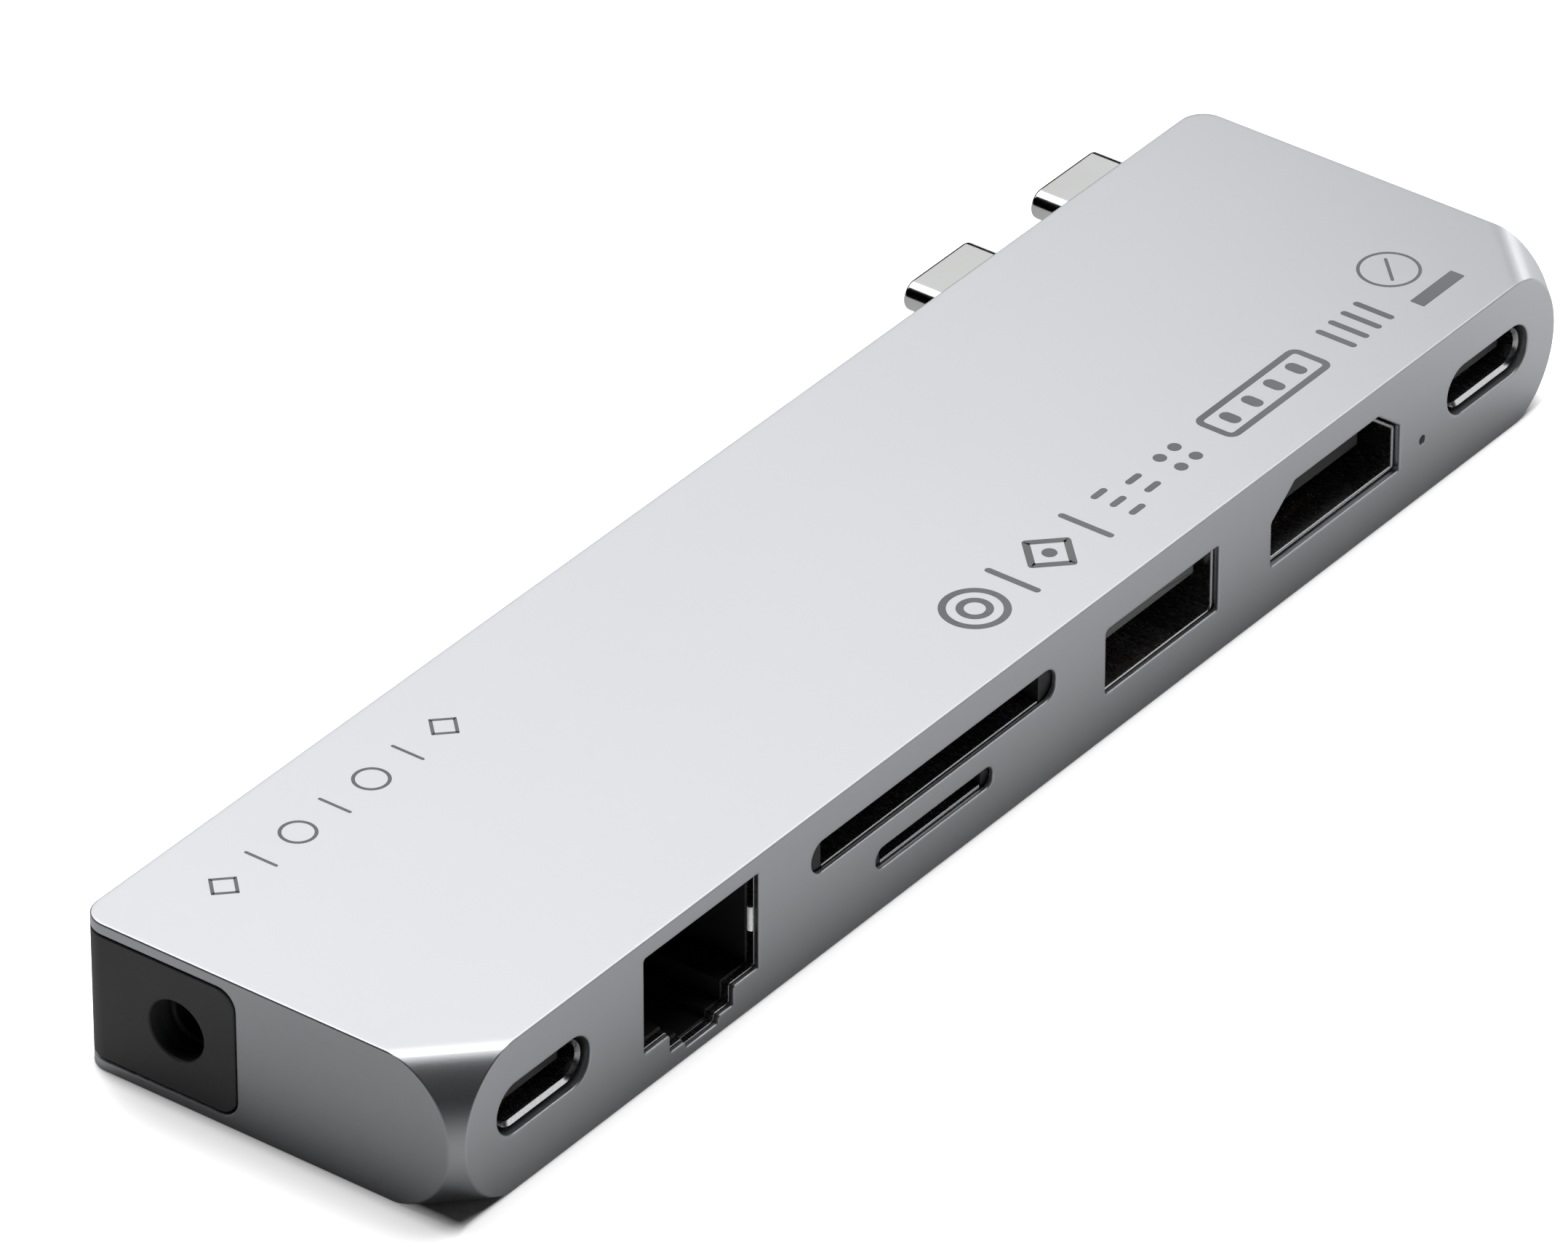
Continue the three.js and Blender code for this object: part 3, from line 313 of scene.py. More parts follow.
def noise(nodes, links, place, size_mm, detail=2.0, stretch=(1, 1, 1)):
    """Noise with features of about size_mm, drawn out along an axis whose stretch is below 1."""
    mapping = nodes.new("ShaderNodeMapping")
    mapping.inputs["Scale"].default_value = stretch
    texture = nodes.new("ShaderNodeTexNoise")
    texture.inputs["Scale"].default_value = 1 / (size_mm * MM)
    texture.inputs["Detail"].default_value = detail
    links.new(place, mapping.inputs["Vector"])
    links.new(mapping.outputs["Vector"], texture.inputs["Vector"])
    return texture.outputs["Fac"]


def ramp(nodes, links, value, low, high, out_low, out_high):
    """Straight-line map of a value from one range to another, held at its ends."""
    node = nodes.new("ShaderNodeMapRange")
    for socket, number in zip(("From Min", "From Max", "To Min", "To Max"), (low, high, out_low, out_high)):
        node.inputs[socket].default_value = number
    links.new(value, node.inputs["Value"])
    return node.outputs["Result"]


def tint(nodes, links, value, dark, light):
    """A colour between two colours, by a value from 0 to 1."""
    node = nodes.new("ShaderNodeMix")
    node.data_type = "RGBA"
    node.inputs["A"].default_value = (*dark, 1)
    node.inputs["B"].default_value = (*light, 1)
    links.new(value, node.inputs["Factor"])
    return node.outputs["Result"]


def bumped(nodes, links, shader, height, strength, distance_mm):
    """Raises the surface by a value, at most distance_mm."""
    node = nodes.new("ShaderNodeBump")
    node.inputs["Strength"].default_value = strength
    node.inputs["Distance"].default_value = distance_mm * MM
    links.new(height, node.inputs["Height"])
    links.new(node.outputs["Normal"], shader.inputs["Normal"])


def grained(name, dark, light, roughness, metallic, grain_mm, bump, stretch=(1, 1, 1), cloud_mm=9.0):
    """A surface with fine grain in its colour, roughness and height, and a slow cloudy drift of colour."""
    material, nodes, links, shader, place = new_material(name, metallic)
    fine = noise(nodes, links, place, grain_mm, 3.0, stretch)
    cloud = noise(nodes, links, place, cloud_mm, 1.0)
    add = nodes.new("ShaderNodeMath")
    add.operation = "MULTIPLY_ADD"
    add.inputs[1].default_value = 0.6
    links.new(fine, add.inputs[0])
    links.new(ramp(nodes, links, cloud, 0.3, 0.7, 0.0, 0.4), add.inputs[2])
    links.new(tint(nodes, links, add.outputs[0], dark, light), shader.inputs["Base Color"])
    links.new(ramp(nodes, links, fine, 0.3, 0.7, *roughness), shader.inputs["Roughness"])
    bumped(nodes, links, shader, fine, bump, grain_mm * 0.15)
    return material


# %% Finishes
finishes = {
    "anodised_aluminium": grained("blasted_aluminium", (0.722, 0.734, 0.764), (0.752, 0.764, 0.794),
                                  (0.38, 0.42), 1.0, 0.12, 0.2, cloud_mm=30.0),
    "insert_plastic": grained("insert_plastic", (0.018, 0.019, 0.021), (0.030, 0.031, 0.034),
                              (0.42, 0.55), 0.0, 0.1, 0.3),
    "port_plastic": grained("port_plastic", (0.008, 0.008, 0.009), (0.016, 0.016, 0.017),
                            (0.38, 0.5), 0.0, 0.15, 0.2),
    "port_steel": grained("port_steel", (0.56, 0.56, 0.57), (0.64, 0.64, 0.65),
                          (0.2, 0.3), 1.0, 0.15, 0.04, (1, 0.2, 1)),
    "plug_steel": grained("plug_steel", (0.62, 0.63, 0.62), (0.72, 0.73, 0.72),
                          (0.10, 0.16), 1.0, 0.2, 0.05, (1, 0.08, 1)),
    "contact_gold": grained("contact_gold", (0.62, 0.40, 0.12), (0.78, 0.54, 0.2),
                            (0.18, 0.28), 1.0, 0.1, 0.1),
    "board_resist": grained("board_resist", (0.012, 0.075, 0.04), (0.02, 0.12, 0.065),
                            (0.25, 0.4), 0.0, 0.4, 0.3),
    "chip_resin": grained("chip_resin", (0.014, 0.014, 0.016), (0.024, 0.025, 0.027),
                          (0.5, 0.65), 0.0, 0.12, 0.3),
    "thermal_pad": grained("thermal_pad", (0.2, 0.24, 0.3), (0.28, 0.32, 0.38),
                           (0.75, 0.9), 0.0, 0.25, 0.5),
    # dark grey: painted shade for the unlit inside of the hub seen through the clear rod
    "light_pipe": grained("light_pipe", (0.05, 0.052, 0.056), (0.08, 0.083, 0.088),
                          (0.2, 0.3), 0.0, 0.5, 0.05),
    "lamp": grained("lamp", (0.8, 0.79, 0.7), (0.9, 0.89, 0.8), (0.25, 0.35), 0.0, 0.2, 0.1),
    "screw_steel": grained("screw_steel", (0.36, 0.36, 0.37), (0.48, 0.48, 0.49),
                           (0.25, 0.36), 1.0, 0.12, 0.15),
}
print("finishes:", sorted(finishes))

# %% [markdown]
# Every CAD node that stays gets the finish of its own slot in the record. Its mesh is left as it is.

# %% Finish the CAD nodes
for entry in frame["record"]["subparts"]:
    node = frame["nodes"][entry["node"]]
    node.data.materials.clear()
    node.data.materials.append(finishes[entry["material_slot"]])
print("nodes finished:", len(frame["nodes"]))


def fit(piece, slot, *nodes, body=HUB):
    """The piece rides on its body, takes its finish from a slot, and stands for the CAD nodes named."""
    if not piece.data.materials:
        piece.data.materials.append(finishes[slot])
    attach(piece, body)
    if nodes:
        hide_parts(*nodes)
    print("made", piece.name, len(piece.data.polygons), "faces")
    return piece


# %% [markdown]
# ## Housing
# The tray's plan is a rectangle whose back corners are small arcs. Its front corners are cut off at 45
# degrees, and the cut is a half ellipse from top to bottom: short at mid-height, and running out into the
# flat faces above and below. So the outline depends on the height, and the wall is that outline swept up.

# %% Housing sizes
WALL = 1.2
TOP_WALL = 1.2
BACK_RADIUS = 2.0
CUT_WAIST = 0.81  # leg of the corner cut at mid-height
CUT_FLARE = 5.2  # what is added to it at the top and bottom
CUT_EDGE = 0.35  # rounding where the cut meets a wall
EDGE = 0.16  # rounding along the top and bottom edges
RIM = 0.14  # rounding round each opening
FINE_RIM = 0.05  # rounding round the pinhole
FLAT_BAND = 0.2  # how far from an edge its rounded shading may reach
PORT_LIP = 0.35  # metal left in front of a port that stands in a milled pocket
RECESS_LEG = 5.3  # corner legs of the underside recess, inside the walls
CAVITY_LEG = 2.5
RECESS_TOP = 0.5
CORNER_STEPS = 10
ROOT2 = math.sqrt(2)


def cut_leg(z):
    """Leg of the front corner cut: waist + flare (1 - sqrt(1 - u u)), u running from -1 to 1 over the
    height."""
    u = 2 * z / HEIGHT - 1
    return CUT_WAIST + CUT_FLARE * (1 - np.sqrt(np.clip(1 - u * u, 0, 1)))


def plan(leg, inset, edge=CUT_EDGE):
    """The body's outline from above, moved in by an inset, anticlockwise from the front-left cut.

    Formula: moving a 45 degree cut in by i shortens its leg by (2 - root 2) i.
    """
    leg = leg - (2 - ROOT2) * inset
    l, r, f, b = LEFT + inset, RIGHT - inset, FRONT + inset, BACK - inset
    corners = [(l + leg, f), (r - leg, f), (r, f + leg), (r, b), (l, b), (l, f + leg)]
    back = max(BACK_RADIUS - inset, 0.3)
    return rounded(corners, [edge, edge, edge, back, back, edge], CORNER_STEPS)


def plan_ring(z, leg, inset):
    outline = plan(leg, inset)
    return np.column_stack([outline, np.full(len(outline), z)])


# %% [markdown]
# The walls with openings are flat sheets with holes. A sheet is filled with triangles between its border
# and its holes, in a flat plane, and then wrapped onto the wall: the front wall is wrapped by (x, z), and
# the other three walls by (s, z), where s is the distance walked along the walls from the right front.

# %% Sheets with holes
SIDE = WIDTH - BACK_RADIUS
ARC = BACK_RADIUS * math.pi / 2
BACK_RUN = LENGTH - 2 * BACK_RADIUS
WALK = 2 * SIDE + 2 * ARC + BACK_RUN  # from the right front round to the left front


def on_front(points, depth):
    """(x, z) on the front wall, a depth behind its face."""
    return np.column_stack([points[:, 0], np.full(len(points), FRONT + depth), points[:, 1]])


def on_wrap(points, depth):
    """(s, z) on the right, back and left walls, a depth behind the face.

    Formula: straight runs are followed at full length. In a corner the angle is s over the radius, and the
    point lies at radius minus depth from the corner's centre.
    """
    s, z = points[:, 0], points[:, 1]
    a1 = np.clip((s - SIDE) / BACK_RADIUS, 0, math.pi / 2)
    a2 = np.clip((s - SIDE - ARC - BACK_RUN) / BACK_RADIUS, 0, math.pi / 2)
    up = np.minimum(s, SIDE)
    across = np.clip(s - SIDE - ARC, 0, BACK_RUN)
    down = np.clip(s - SIDE - 2 * ARC - BACK_RUN, 0, SIDE)
    r = BACK_RADIUS - depth
    left = s > SIDE + ARC
    x = np.where(left, RIGHT - BACK_RADIUS - across - r * np.sin(a2), RIGHT - BACK_RADIUS + r * np.cos(a1))
    y = np.where(left, BACK - BACK_RADIUS + r * np.cos(a2) - down, FRONT + up + r * np.sin(a1))
    return np.column_stack([x, y, z])


def inside(points, outline):
    """True where a point lies in an outline: a ray to the right crosses its edges an odd number of times."""
    x, y = points[:, :1], points[:, 1:]
    x1, y1 = outline[:, 0], outline[:, 1]
    x2, y2 = np.roll(x1, -1), np.roll(y1, -1)
    crosses = (y1 > y) != (y2 > y)
    with np.errstate(divide="ignore", invalid="ignore"):
        at = x1 + (y - y1) * (x2 - x1) / (y2 - y1)
    return (crosses & (x < at)).sum(1) % 2 == 1


def sheet_with_holes(border, holes, lines=()):
    """Triangles between a border and its holes, with the given extra lines kept as edges.

    Triangles whose middle lies in a hole are dropped.
    """
    points, edges = [], []
    for outline in [border, *holes]:
        first = len(points)
        points += [tuple(p) for p in outline]
        n = len(outline)
        edges += [(first + k, first + (k + 1) % n) for k in range(n)]
    for line in lines:
        first = len(points)
        points += [tuple(p) for p in line]
        edges += [(first + k, first + k + 1) for k in range(len(line) - 1)]
    verts, _, faces, *_ = delaunay_2d_cdt([Vector(p) for p in points], edges, [], 1, 1e-5)
    flat = np.array([tuple(v) for v in verts])
    triangles = np.array([list(f) for f in faces])
    centres = flat[triangles].mean(1)
    keep = inside(centres, border)
    for hole in holes:
        keep &= ~inside(centres, hole)
    return flat, triangles[keep].tolist()


def kept_flat(border, holes):
    """Closed lines a little inside the border and a little outside each hole.

    A long triangle that starts at a rounded edge would carry that edge's slanted shading far across the
    wall. These lines keep such triangles within FLAT_BAND of the edge.
    """
    loops = [grow(border, -FLAT_BAND)] + [grow(hole, FLAT_BAND) for hole in holes]
    return [np.concatenate([loop, loop[:1]]) for loop in loops]


def tunnel(outline, wrap, through, rim=RIM, steps=4):
    """The wall of an opening: a quarter-round rim at the face, then straight in.

    Formula: the rim's outline is r (1 - sin a) larger at a depth of r (1 - cos a).
    """
    a = np.linspace(0, math.pi / 2, steps + 1)
    rings = [wrap(grow(outline, rim * (1 - np.sin(t))), rim * (1 - np.cos(t))) for t in a]
    rings.append(wrap(outline, through))
    return loft(rings, caps=(False, False))


# %% [markdown]
# Each opening is an outline placed on a wall. The window for the dark end piece runs round the back-left
# corner, so its long edges get extra points at the same places as the corner's columns.

# %% Openings
C_SIZE = (9.8, 3.9)
SD_SIZE = (27.3, 2.47)
MICROSD_SIZE = (13.1, 1.67)
A_SIZE = (13.1, 5.23)
VIDEO_SIZE = (15.35, 5.76)
VIDEO_CUT = (2.7, 2.1)
NET_STEPS = [(12.35, 7.52), (6.84, 1.45), (3.5, 0.54)]
NET_TOP = 1.44
STATUS_HOLE = 0.7
INSERT_MARGIN = 0.9
INSERT_CORNER = 1.45
PLUG_GAP = 0.1
POCKET_GAP = 0.1  # free space round a port in its pocket
POCKET_ROOF = 0.12  # least distance from a pocket to the ceiling


def moved(outline, x, z):
    return outline + np.array([x, z])


def net_corners(narrower=0.0):
    """The network opening's corners: steps that get narrower downwards, drawn about its middle in x."""
    z = HEIGHT - NET_TOP
    right = []
    for width, height in NET_STEPS:
        u = width / 2 - narrower
        right += [(u, z), (u, z - height)]
        z -= height
    return [(-u, v) for u, v in right] + [(u, v) for u, v in right[::-1]]


def video_corners(inset=0.0):
    """The video opening's corners, narrow side up, moved in by an inset."""
    w, h = VIDEO_SIZE[0] / 2 - inset, VIDEO_SIZE[1] / 2 - inset
    lean = math.hypot(*VIDEO_CUT)
    cw = VIDEO_CUT[0] - inset * (1 + (VIDEO_CUT[0] - lean) / VIDEO_CUT[1])
    ch = VIDEO_CUT[1] - inset * (1 + (VIDEO_CUT[1] - lean) / VIDEO_CUT[0])
    return [(-w, -h), (w, -h), (w, h - ch), (w - cw, h), (cw - w, h), (-w, h - ch)]


c_places = [middle("usb_c_left_shell"), middle("usb_c_right_shell")]
net_x = middle("ethernet_shield")[0]
sd_at, microsd_at = middle("sd_frame"), middle("microsd_frame")
SD_Z, MICROSD_Z = 7.87, 4.08
a_at, video_at = middle("usb_a_shell"), middle("video_shell")
status_at = middle("status_light_pipe")
STATUS_Z = 4.7
plug_at = [middle("usb_c_plug_1_shell"), middle("usb_c_plug_2_shell")]


def pocket(node):
    """The milled pocket behind an opening: a node's front outline, larger all round by the pocket's gap."""
    low, high = span(node)
    high[2] = min(high[2], HEIGHT - TOP_WALL - POCKET_ROOF)
    size, centre = high - low, (low + high) / 2
    corners = box_corners(size[0] + 2 * POCKET_GAP, size[2] + 2 * POCKET_GAP)
    return moved(rounded(corners, POCKET_GAP, 3), centre[0], centre[2])


# each opening with the rounding of its rim, and the pocket behind it where it has one
front_openings = [(moved(slot_outline(*C_SIZE), p[0], p[2]), RIM, None) for p in c_places]
front_openings += [
    (moved(rounded(net_corners(), 0.22, 4), net_x, 0), RIM, pocket("ethernet_shield")),
    (moved(slot_outline(*SD_SIZE), sd_at[0], SD_Z), RIM, pocket("sd_lid")),
    (moved(slot_outline(*MICROSD_SIZE), microsd_at[0], MICROSD_Z), RIM, pocket("microsd_lid")),
    (moved(rounded(box_corners(*A_SIZE), 0.35, 5), a_at[0], a_at[2]), RIM, pocket("usb_a_shell")),
    (moved(rounded(video_corners(), 0.3, 5), video_at[0], video_at[2]), RIM, None),
    (moved(slot_outline(STATUS_HOLE, STATUS_HOLE), status_at[0], STATUS_Z), FINE_RIM, None),
]
mouths = [grow(outline, rim) for outline, rim, _ in front_openings]
backs = [outline if room is None else room for outline, _, room in front_openings]

back_start = SIDE + ARC  # s where the back wall begins
corner_columns = back_start + BACK_RUN + ARC * np.linspace(0, 1, CORNER_STEPS + 1)
insert_front = WALK - (span("jack_end_insert")[0][1] - FRONT - 0.1)


def with_stops(outline, stops):
    """The outline with a point added wherever a long edge passes a stop."""
    result = []
    for p, q in zip(outline, np.roll(outline, -1, 0)):
        result.append(p)
        crossed = [t for t in stops if min(p[0], q[0]) + 1e-3 < t < max(p[0], q[0]) - 1e-3]
        for t in sorted(crossed, reverse=bool(q[0] < p[0])):
            share = (t - p[0]) / (q[0] - p[0])
            result.append(p + share * (q - p))
    return np.array(result)


def window_outline(gap):
    """The end window in (s, z): rounded where it ends on the end wall, square where it ends at the back."""
    s0, s1 = corner_columns[0] + gap, insert_front - gap
    z0, z1 = INSERT_MARGIN + gap, HEIGHT - INSERT_MARGIN - gap
    corners = [(s0, z0), (s1, z0), (s1, z1), (s0, z1)]
    return with_stops(rounded(corners, [0.2, INSERT_CORNER, INSERT_CORNER, 0.2], 6), corner_columns)


def back_s(x):
    """The distance walked to a place on the back wall."""
    return back_start + RIGHT - BACK_RADIUS - x


plug_size = span("usb_c_plug_1_shell")
plug_size = plug_size[1] - plug_size[0]
plug_slot = slot_outline(plug_size[0] + 2 * PLUG_GAP, plug_size[2] + 2 * PLUG_GAP)
wrap_holes = [moved(plug_slot, back_s(p[0]), p[2]) for p in plug_at]
window = window_outline(0)
print("openings:", len(front_openings), "in front,", len(wrap_holes) + 1, "elsewhere")

# %% [markdown]
# The housing is put together from strips that share their edge points: the rounded top and bottom edges,
# the four strips at the front corners, the sheets with holes, the tunnels, and the inside.

# %% Build the housing
def side_rows(count=30):
    """Heights of the rows on the walls, closer together where the corner cut bends fast.

    Formula: equal steps of the ellipse's angle, between the two rounded edges.
    """
    top = math.acos(2 * EDGE / HEIGHT - 1)
    return HEIGHT / 2 * (1 + np.cos(np.linspace(top, math.pi - top, count)))


def corner_strip(outlines, rows, first, last):
    """The quads between two columns of the stacked outlines."""
    points = np.concatenate([outlines[:, first:last + 1],
                             np.repeat(rows[:, None, None], last - first + 1, 1)], 2)
    m, n = points.shape[:2]
    i, j = np.meshgrid(np.arange(m - 1), np.arange(n - 1), indexing="ij")
    quads = np.stack([i * n + j, i * n + j + 1, (i + 1) * n + j + 1, (i + 1) * n + j], -1)
    return points.reshape(-1, 3), quads.reshape(-1, 4).tolist()


def walls(rows, legs, depth, front_holes, back_holes, shown=True):
    """All side walls between the first and the last row: sheets with holes and corner strips.

    Only walls that are shown get the lines of `kept_flat`.
    """
    K = CORNER_STEPS
    flats = kept_flat if shown else lambda border, holes: []
    outlines = np.array([plan(leg, depth) for leg in legs])

    left_x, right_x = outlines[:, K, 0], outlines[:, K + 1, 0]
    border = np.concatenate([
        np.column_stack([right_x, rows]),
        np.column_stack([left_x, rows])[::-1],
    ])
    flat, triangles = sheet_with_holes(border, front_holes, flats(border, front_holes))
    parts = [(on_front(flat, depth), triangles)]

    start = outlines[:, 3 * K + 2, 1] - FRONT
    end = WALK - (outlines[:, 5 * K + 5, 1] - FRONT)
    arc1 = SIDE + ARC * np.linspace(0, 1, K + 1)
    arc2 = corner_columns
    columns = np.concatenate([arc1, arc2])
    z0, z1 = rows[0], rows[-1]
    border = np.concatenate([
        np.column_stack([columns, np.full(len(columns), z0)]),
        np.column_stack([end, rows]),
        np.column_stack([columns, np.full(len(columns), z1)])[::-1],
        np.column_stack([start, rows])[::-1],
    ])
    hole = back_holes[-1]
    low, high = hole[:, 1].min(), hole[:, 1].max()
    lines = flats(border, back_holes) + [[(s, z0), (s, z1)] for s in arc1]
    for s in arc2:
        cut = s > hole[:, 0].min()
        lines += [[(s, z0), (s, low)], [(s, high), (s, z1)]] if cut else [[(s, z0), (s, z1)]]
    flat, triangles = sheet_with_holes(border, back_holes, lines)
    parts.append((on_wrap(flat, depth), triangles))

    parts.append(corner_strip(outlines, rows, K + 1, 3 * K + 2))
    closing = np.concatenate([outlines[:, 5 * K + 5:], outlines[:, :K + 1]], 1)
    parts.append(corner_strip(closing, rows, 0, closing.shape[1] - 1))
    return parts


def edge_rings(top):
    """The rounded edge at the top or bottom: quarter round of radius EDGE, on the outline at that height."""
    a = np.linspace(0, math.pi / 2, 6)
    z = EDGE * (1 - np.sin(a))
    z = HEIGHT - z if top else z
    return [plan_ring(h, cut_leg(h), EDGE * (1 - math.cos(t))) for h, t in zip(z, a)]


def port_walls(outline, rim, room):
    """The way in through the front wall: straight through, or through a thin lip into a pocket."""
    if room is None:
        return [tunnel(outline, on_front, WALL, rim)]
    flat, triangles = sheet_with_holes(room, [outline])
    return [
        tunnel(outline, on_front, PORT_LIP, rim),
        (on_front(flat, PORT_LIP), triangles),
        loft([on_front(room, PORT_LIP), on_front(room, WALL)], caps=(False, False)),
    ]


def build_housing():
    """The strips in order: outer walls, inner walls, ways through them, top, bottom edge and ceiling."""
    rows = side_rows()
    inner_rows = np.array([RECESS_TOP, HEIGHT - TOP_WALL])
    cavity = CAVITY_LEG + (2 - ROOT2) * WALL  # the leg as measured from the outer walls
    recess = RECESS_LEG + (2 - ROOT2) * WALL
    around = [*wrap_holes, window]
    parts = walls(rows, cut_leg(rows), 0.0, mouths, [grow(hole, RIM) for hole in around])
    parts += walls(inner_rows, [cavity, cavity], WALL, backs, around, shown=False)
    parts += [part for opening in front_openings for part in port_walls(*opening)]
    parts += [tunnel(hole, on_wrap, WALL) for hole in around]
    top = [*edge_rings(True), plan_ring(HEIGHT, cut_leg(HEIGHT), EDGE + FLAT_BAND)]
    parts.append(loft(top, caps=(False, True)))
    bottom = edge_rings(False)
    inside_rings = [plan_ring(0, recess, WALL), plan_ring(RECESS_TOP, recess, WALL),
                    plan_ring(RECESS_TOP, cavity, WALL)]
    parts.append(loft([*bottom, *inside_rings], caps=(False, False)))
    ceiling = plan_ring(HEIGHT - TOP_WALL, cavity, WALL)
    parts.append((ceiling, [list(range(len(ceiling)))]))
    points, faces = joined(parts)
    return new_piece("housing_shell", points, faces, sharp=32)


housing = fit(build_housing(), "anodised_aluminium", "housing")

# %% [markdown]
# ## The dark end piece
# A moulded piece closes the window at the left end and lets the audio jack's plug in. It is wrapped onto
# the wall as the housing is, a tenth smaller than its window, so that a fine dark line runs round it. A
# flange behind the wall holds it.

# %% Jack insert and jack
jack_at = middle("audio_jack_body")
jack_low, jack_high = span("audio_jack_body")
insert_low, insert_high = span("jack_end_insert")


def end_s(y):
    """The distance walked to a place on the end wall."""
    return SIDE + 2 * ARC + BACK_RUN + BACK - BACK_RADIUS - y


def build_insert(edge=0.12, rim=0.18):
    """The window's outline made smaller by the gap, as a skin as thick as the wall, with the jack's hole.

    Formula: the skin's border is e (1 - sin a) smaller at a depth of e (1 - cos a), as on a soft bar.
    """
    outline = window_outline(0.1)
    hole = moved(slot_outline(4.5, 4.5, 16), end_s(jack_at[1]), jack_at[2])
    low, high = outline[:, 1].min(), outline[:, 1].max()
    parts = []
    for depth, border, mouth in ((0, grow(outline, -edge), grow(hole, rim)), (WALL, outline, hole)):
        shrink = edge if depth == 0 else 0
        lines = [[(s, low + shrink), (s, high - shrink)] for s in corner_columns[1:]]
        flat, triangles = sheet_with_holes(border, [mouth], lines)
        parts.append((on_wrap(flat, depth), triangles))
    a = np.linspace(0, math.pi / 2, 4)
    border = [on_wrap(grow(outline, -edge * (1 - math.sin(t))), edge * (1 - math.cos(t))) for t in a]
    parts.append(loft([*border, on_wrap(outline, WALL)], caps=(False, False)))
    parts.append(tunnel(hole, on_wrap, WALL, rim))
    points, faces = joined(parts)
    return new_piece("jack_insert_skin", points, faces, sharp=35)


fit(build_insert(), "insert_plastic", "jack_end_insert")

flange_low, flange_high = insert_low + [WALL, 0.6, 0.6 - 0.1], insert_high - [0, 1.2, 0.6 - 0.1]
flange_mid = (flange_low + flange_high) / 2
flange_mid[0] = 0
flange_size = flange_high - flange_low
flange_hole = moved(slot_outline(4.5, 4.5, 16), jack_at[1] - flange_mid[1], jack_at[2] - flange_mid[2])
flange = drilled(rounded(box_corners(flange_size[1], flange_size[2]), 0.8, 4), flange_hole, flange_mid,
                 LEFT + WALL + 0.02, jack_low[0] - 0.1, rim=0.02, axis="x")
fit(new_piece("jack_insert_flange", *flange), "insert_plastic")

jack_size = jack_high - jack_low
bore = slot_outline(3.6, 3.6, 16)
jack = drilled(rounded(box_corners(jack_size[1], jack_size[2]), 0.4, 4), bore,
               jack_at * [0, 1, 1], jack_low[0], jack_high[0], blind=11.8, edge=0.15, rim=0.25, axis="x")
fit(new_piece("audio_jack", *jack), "port_plastic", "audio_jack_body")
sleeve = sheet_tube(slot_outline(3.58, 3.58, 16), jack_at * [0, 1, 1], jack_low[0] + 1.4, jack_low[0] + 5,
                    0.08, axis="x")
fit(new_piece("audio_jack_sleeve", *sleeve), "port_steel")

# %% [markdown]
# ## Small sockets at both ends of the row
# Each is a flattened steel tube whose mouth slopes inwards, set back a little in its opening. A thin
# tongue stands in it, with twelve gold contacts on each side.

# %% USB-C receptacles
for side, place in zip(("left", "right"), c_places):
    at = place * [1, 0, 1]
    low, high = span(f"usb_c_{side}_shell")
    size = high - low
    shell = sheet_tube(slot_outline(size[0], size[2]), at, low[1], high[1], 0.3, flared=True)
    fit(new_piece(f"c_socket_{side}_shell", *shell), "port_steel", f"usb_c_{side}_shell")
    tip, back = span(f"usb_c_{side}_tongue")
    tongue = soft_bar(rounded(box_corners(6.7, 0.7), 0.12, 3), at, tip[1], tip[1] + 4.2, 0.1)
    base = soft_bar(slot_outline(size[0] - 0.7, size[2] - 0.7), at, tip[1] + 3.8, back[1], 0.15)
    core = joined([tongue, base])
    fit(new_piece(f"c_socket_{side}_tongue", *core), "port_plastic", f"usb_c_{side}_tongue")
    offsets = [(i * 0.5 - 2.75, 0, s * 0.35) for i in range(12) for s in (-1, 1)]
    gold = strips(offsets, (0.26, 2.2, 0.05), at + [0, tip[1] + 2.7, 0])
    fit(new_piece(f"c_socket_{side}_contacts", *gold), "contact_gold")

# %% [markdown]
# ## Network jack
# A black moulded body with a stepped opening, wide for the plug and narrow below for its latch. A thin
# sheet-metal plate frames the opening, and a spring on each side wall grips the plug's own shield.

# %% Network jack
def net_outline(narrower, lower, radius):
    """The stepped opening made narrower on both sides and lower at the top."""
    corners = np.array(net_corners(narrower))
    corners[:, 1] -= np.where(corners[:, 1] > HEIGHT - NET_TOP - 1e-6, lower, 0)
    corners[:, 1] += np.where(corners[:, 1] < HEIGHT - NET_TOP - 1, narrower, 0)
    return rounded(corners, radius, 4)


net_low, net_high = span("ethernet_jack_body")
net_size = net_high - net_low
frame_centre = np.array([net_x, 0, 0])
frame_outline = rounded(box_corners(net_size[0], net_size[2]), 0.2, 3)
frame_outline = moved(frame_outline, 0, (net_low + net_high)[2] / 2)
LINER = 0.5  # how far the steel reaches into the jack
plate = drilled(frame_outline, net_outline(0.07, 0.2, 0.2), frame_centre,
                net_low[1] - 0.06, net_low[1] + LINER, edge=0.04, rim=0.06)
fit(new_piece("network_plate", *plate), "port_steel")
body = drilled(frame_outline, net_outline(0.2, 0.3, 0.12), frame_centre,
               net_low[1] + LINER + 0.02, net_high[1], blind=12.7, edge=0.1, rim=0.1)
fit(new_piece("network_jack", *body), "port_plastic", "ethernet_jack_body")


def leaf(length, rise, thick, steps=14):
    """The side outline of a bowed spring leaf: its height is rise sin(pi t), drawn twice, a sheet's
    thickness apart, for t from 0 to 1 along its length."""
    t = np.linspace(0, 1, steps)
    bow = rise * np.sin(math.pi * t)
    top = np.column_stack([t * length, bow + thick])
    return np.concatenate([np.column_stack([t * length, bow]), top[::-1]])


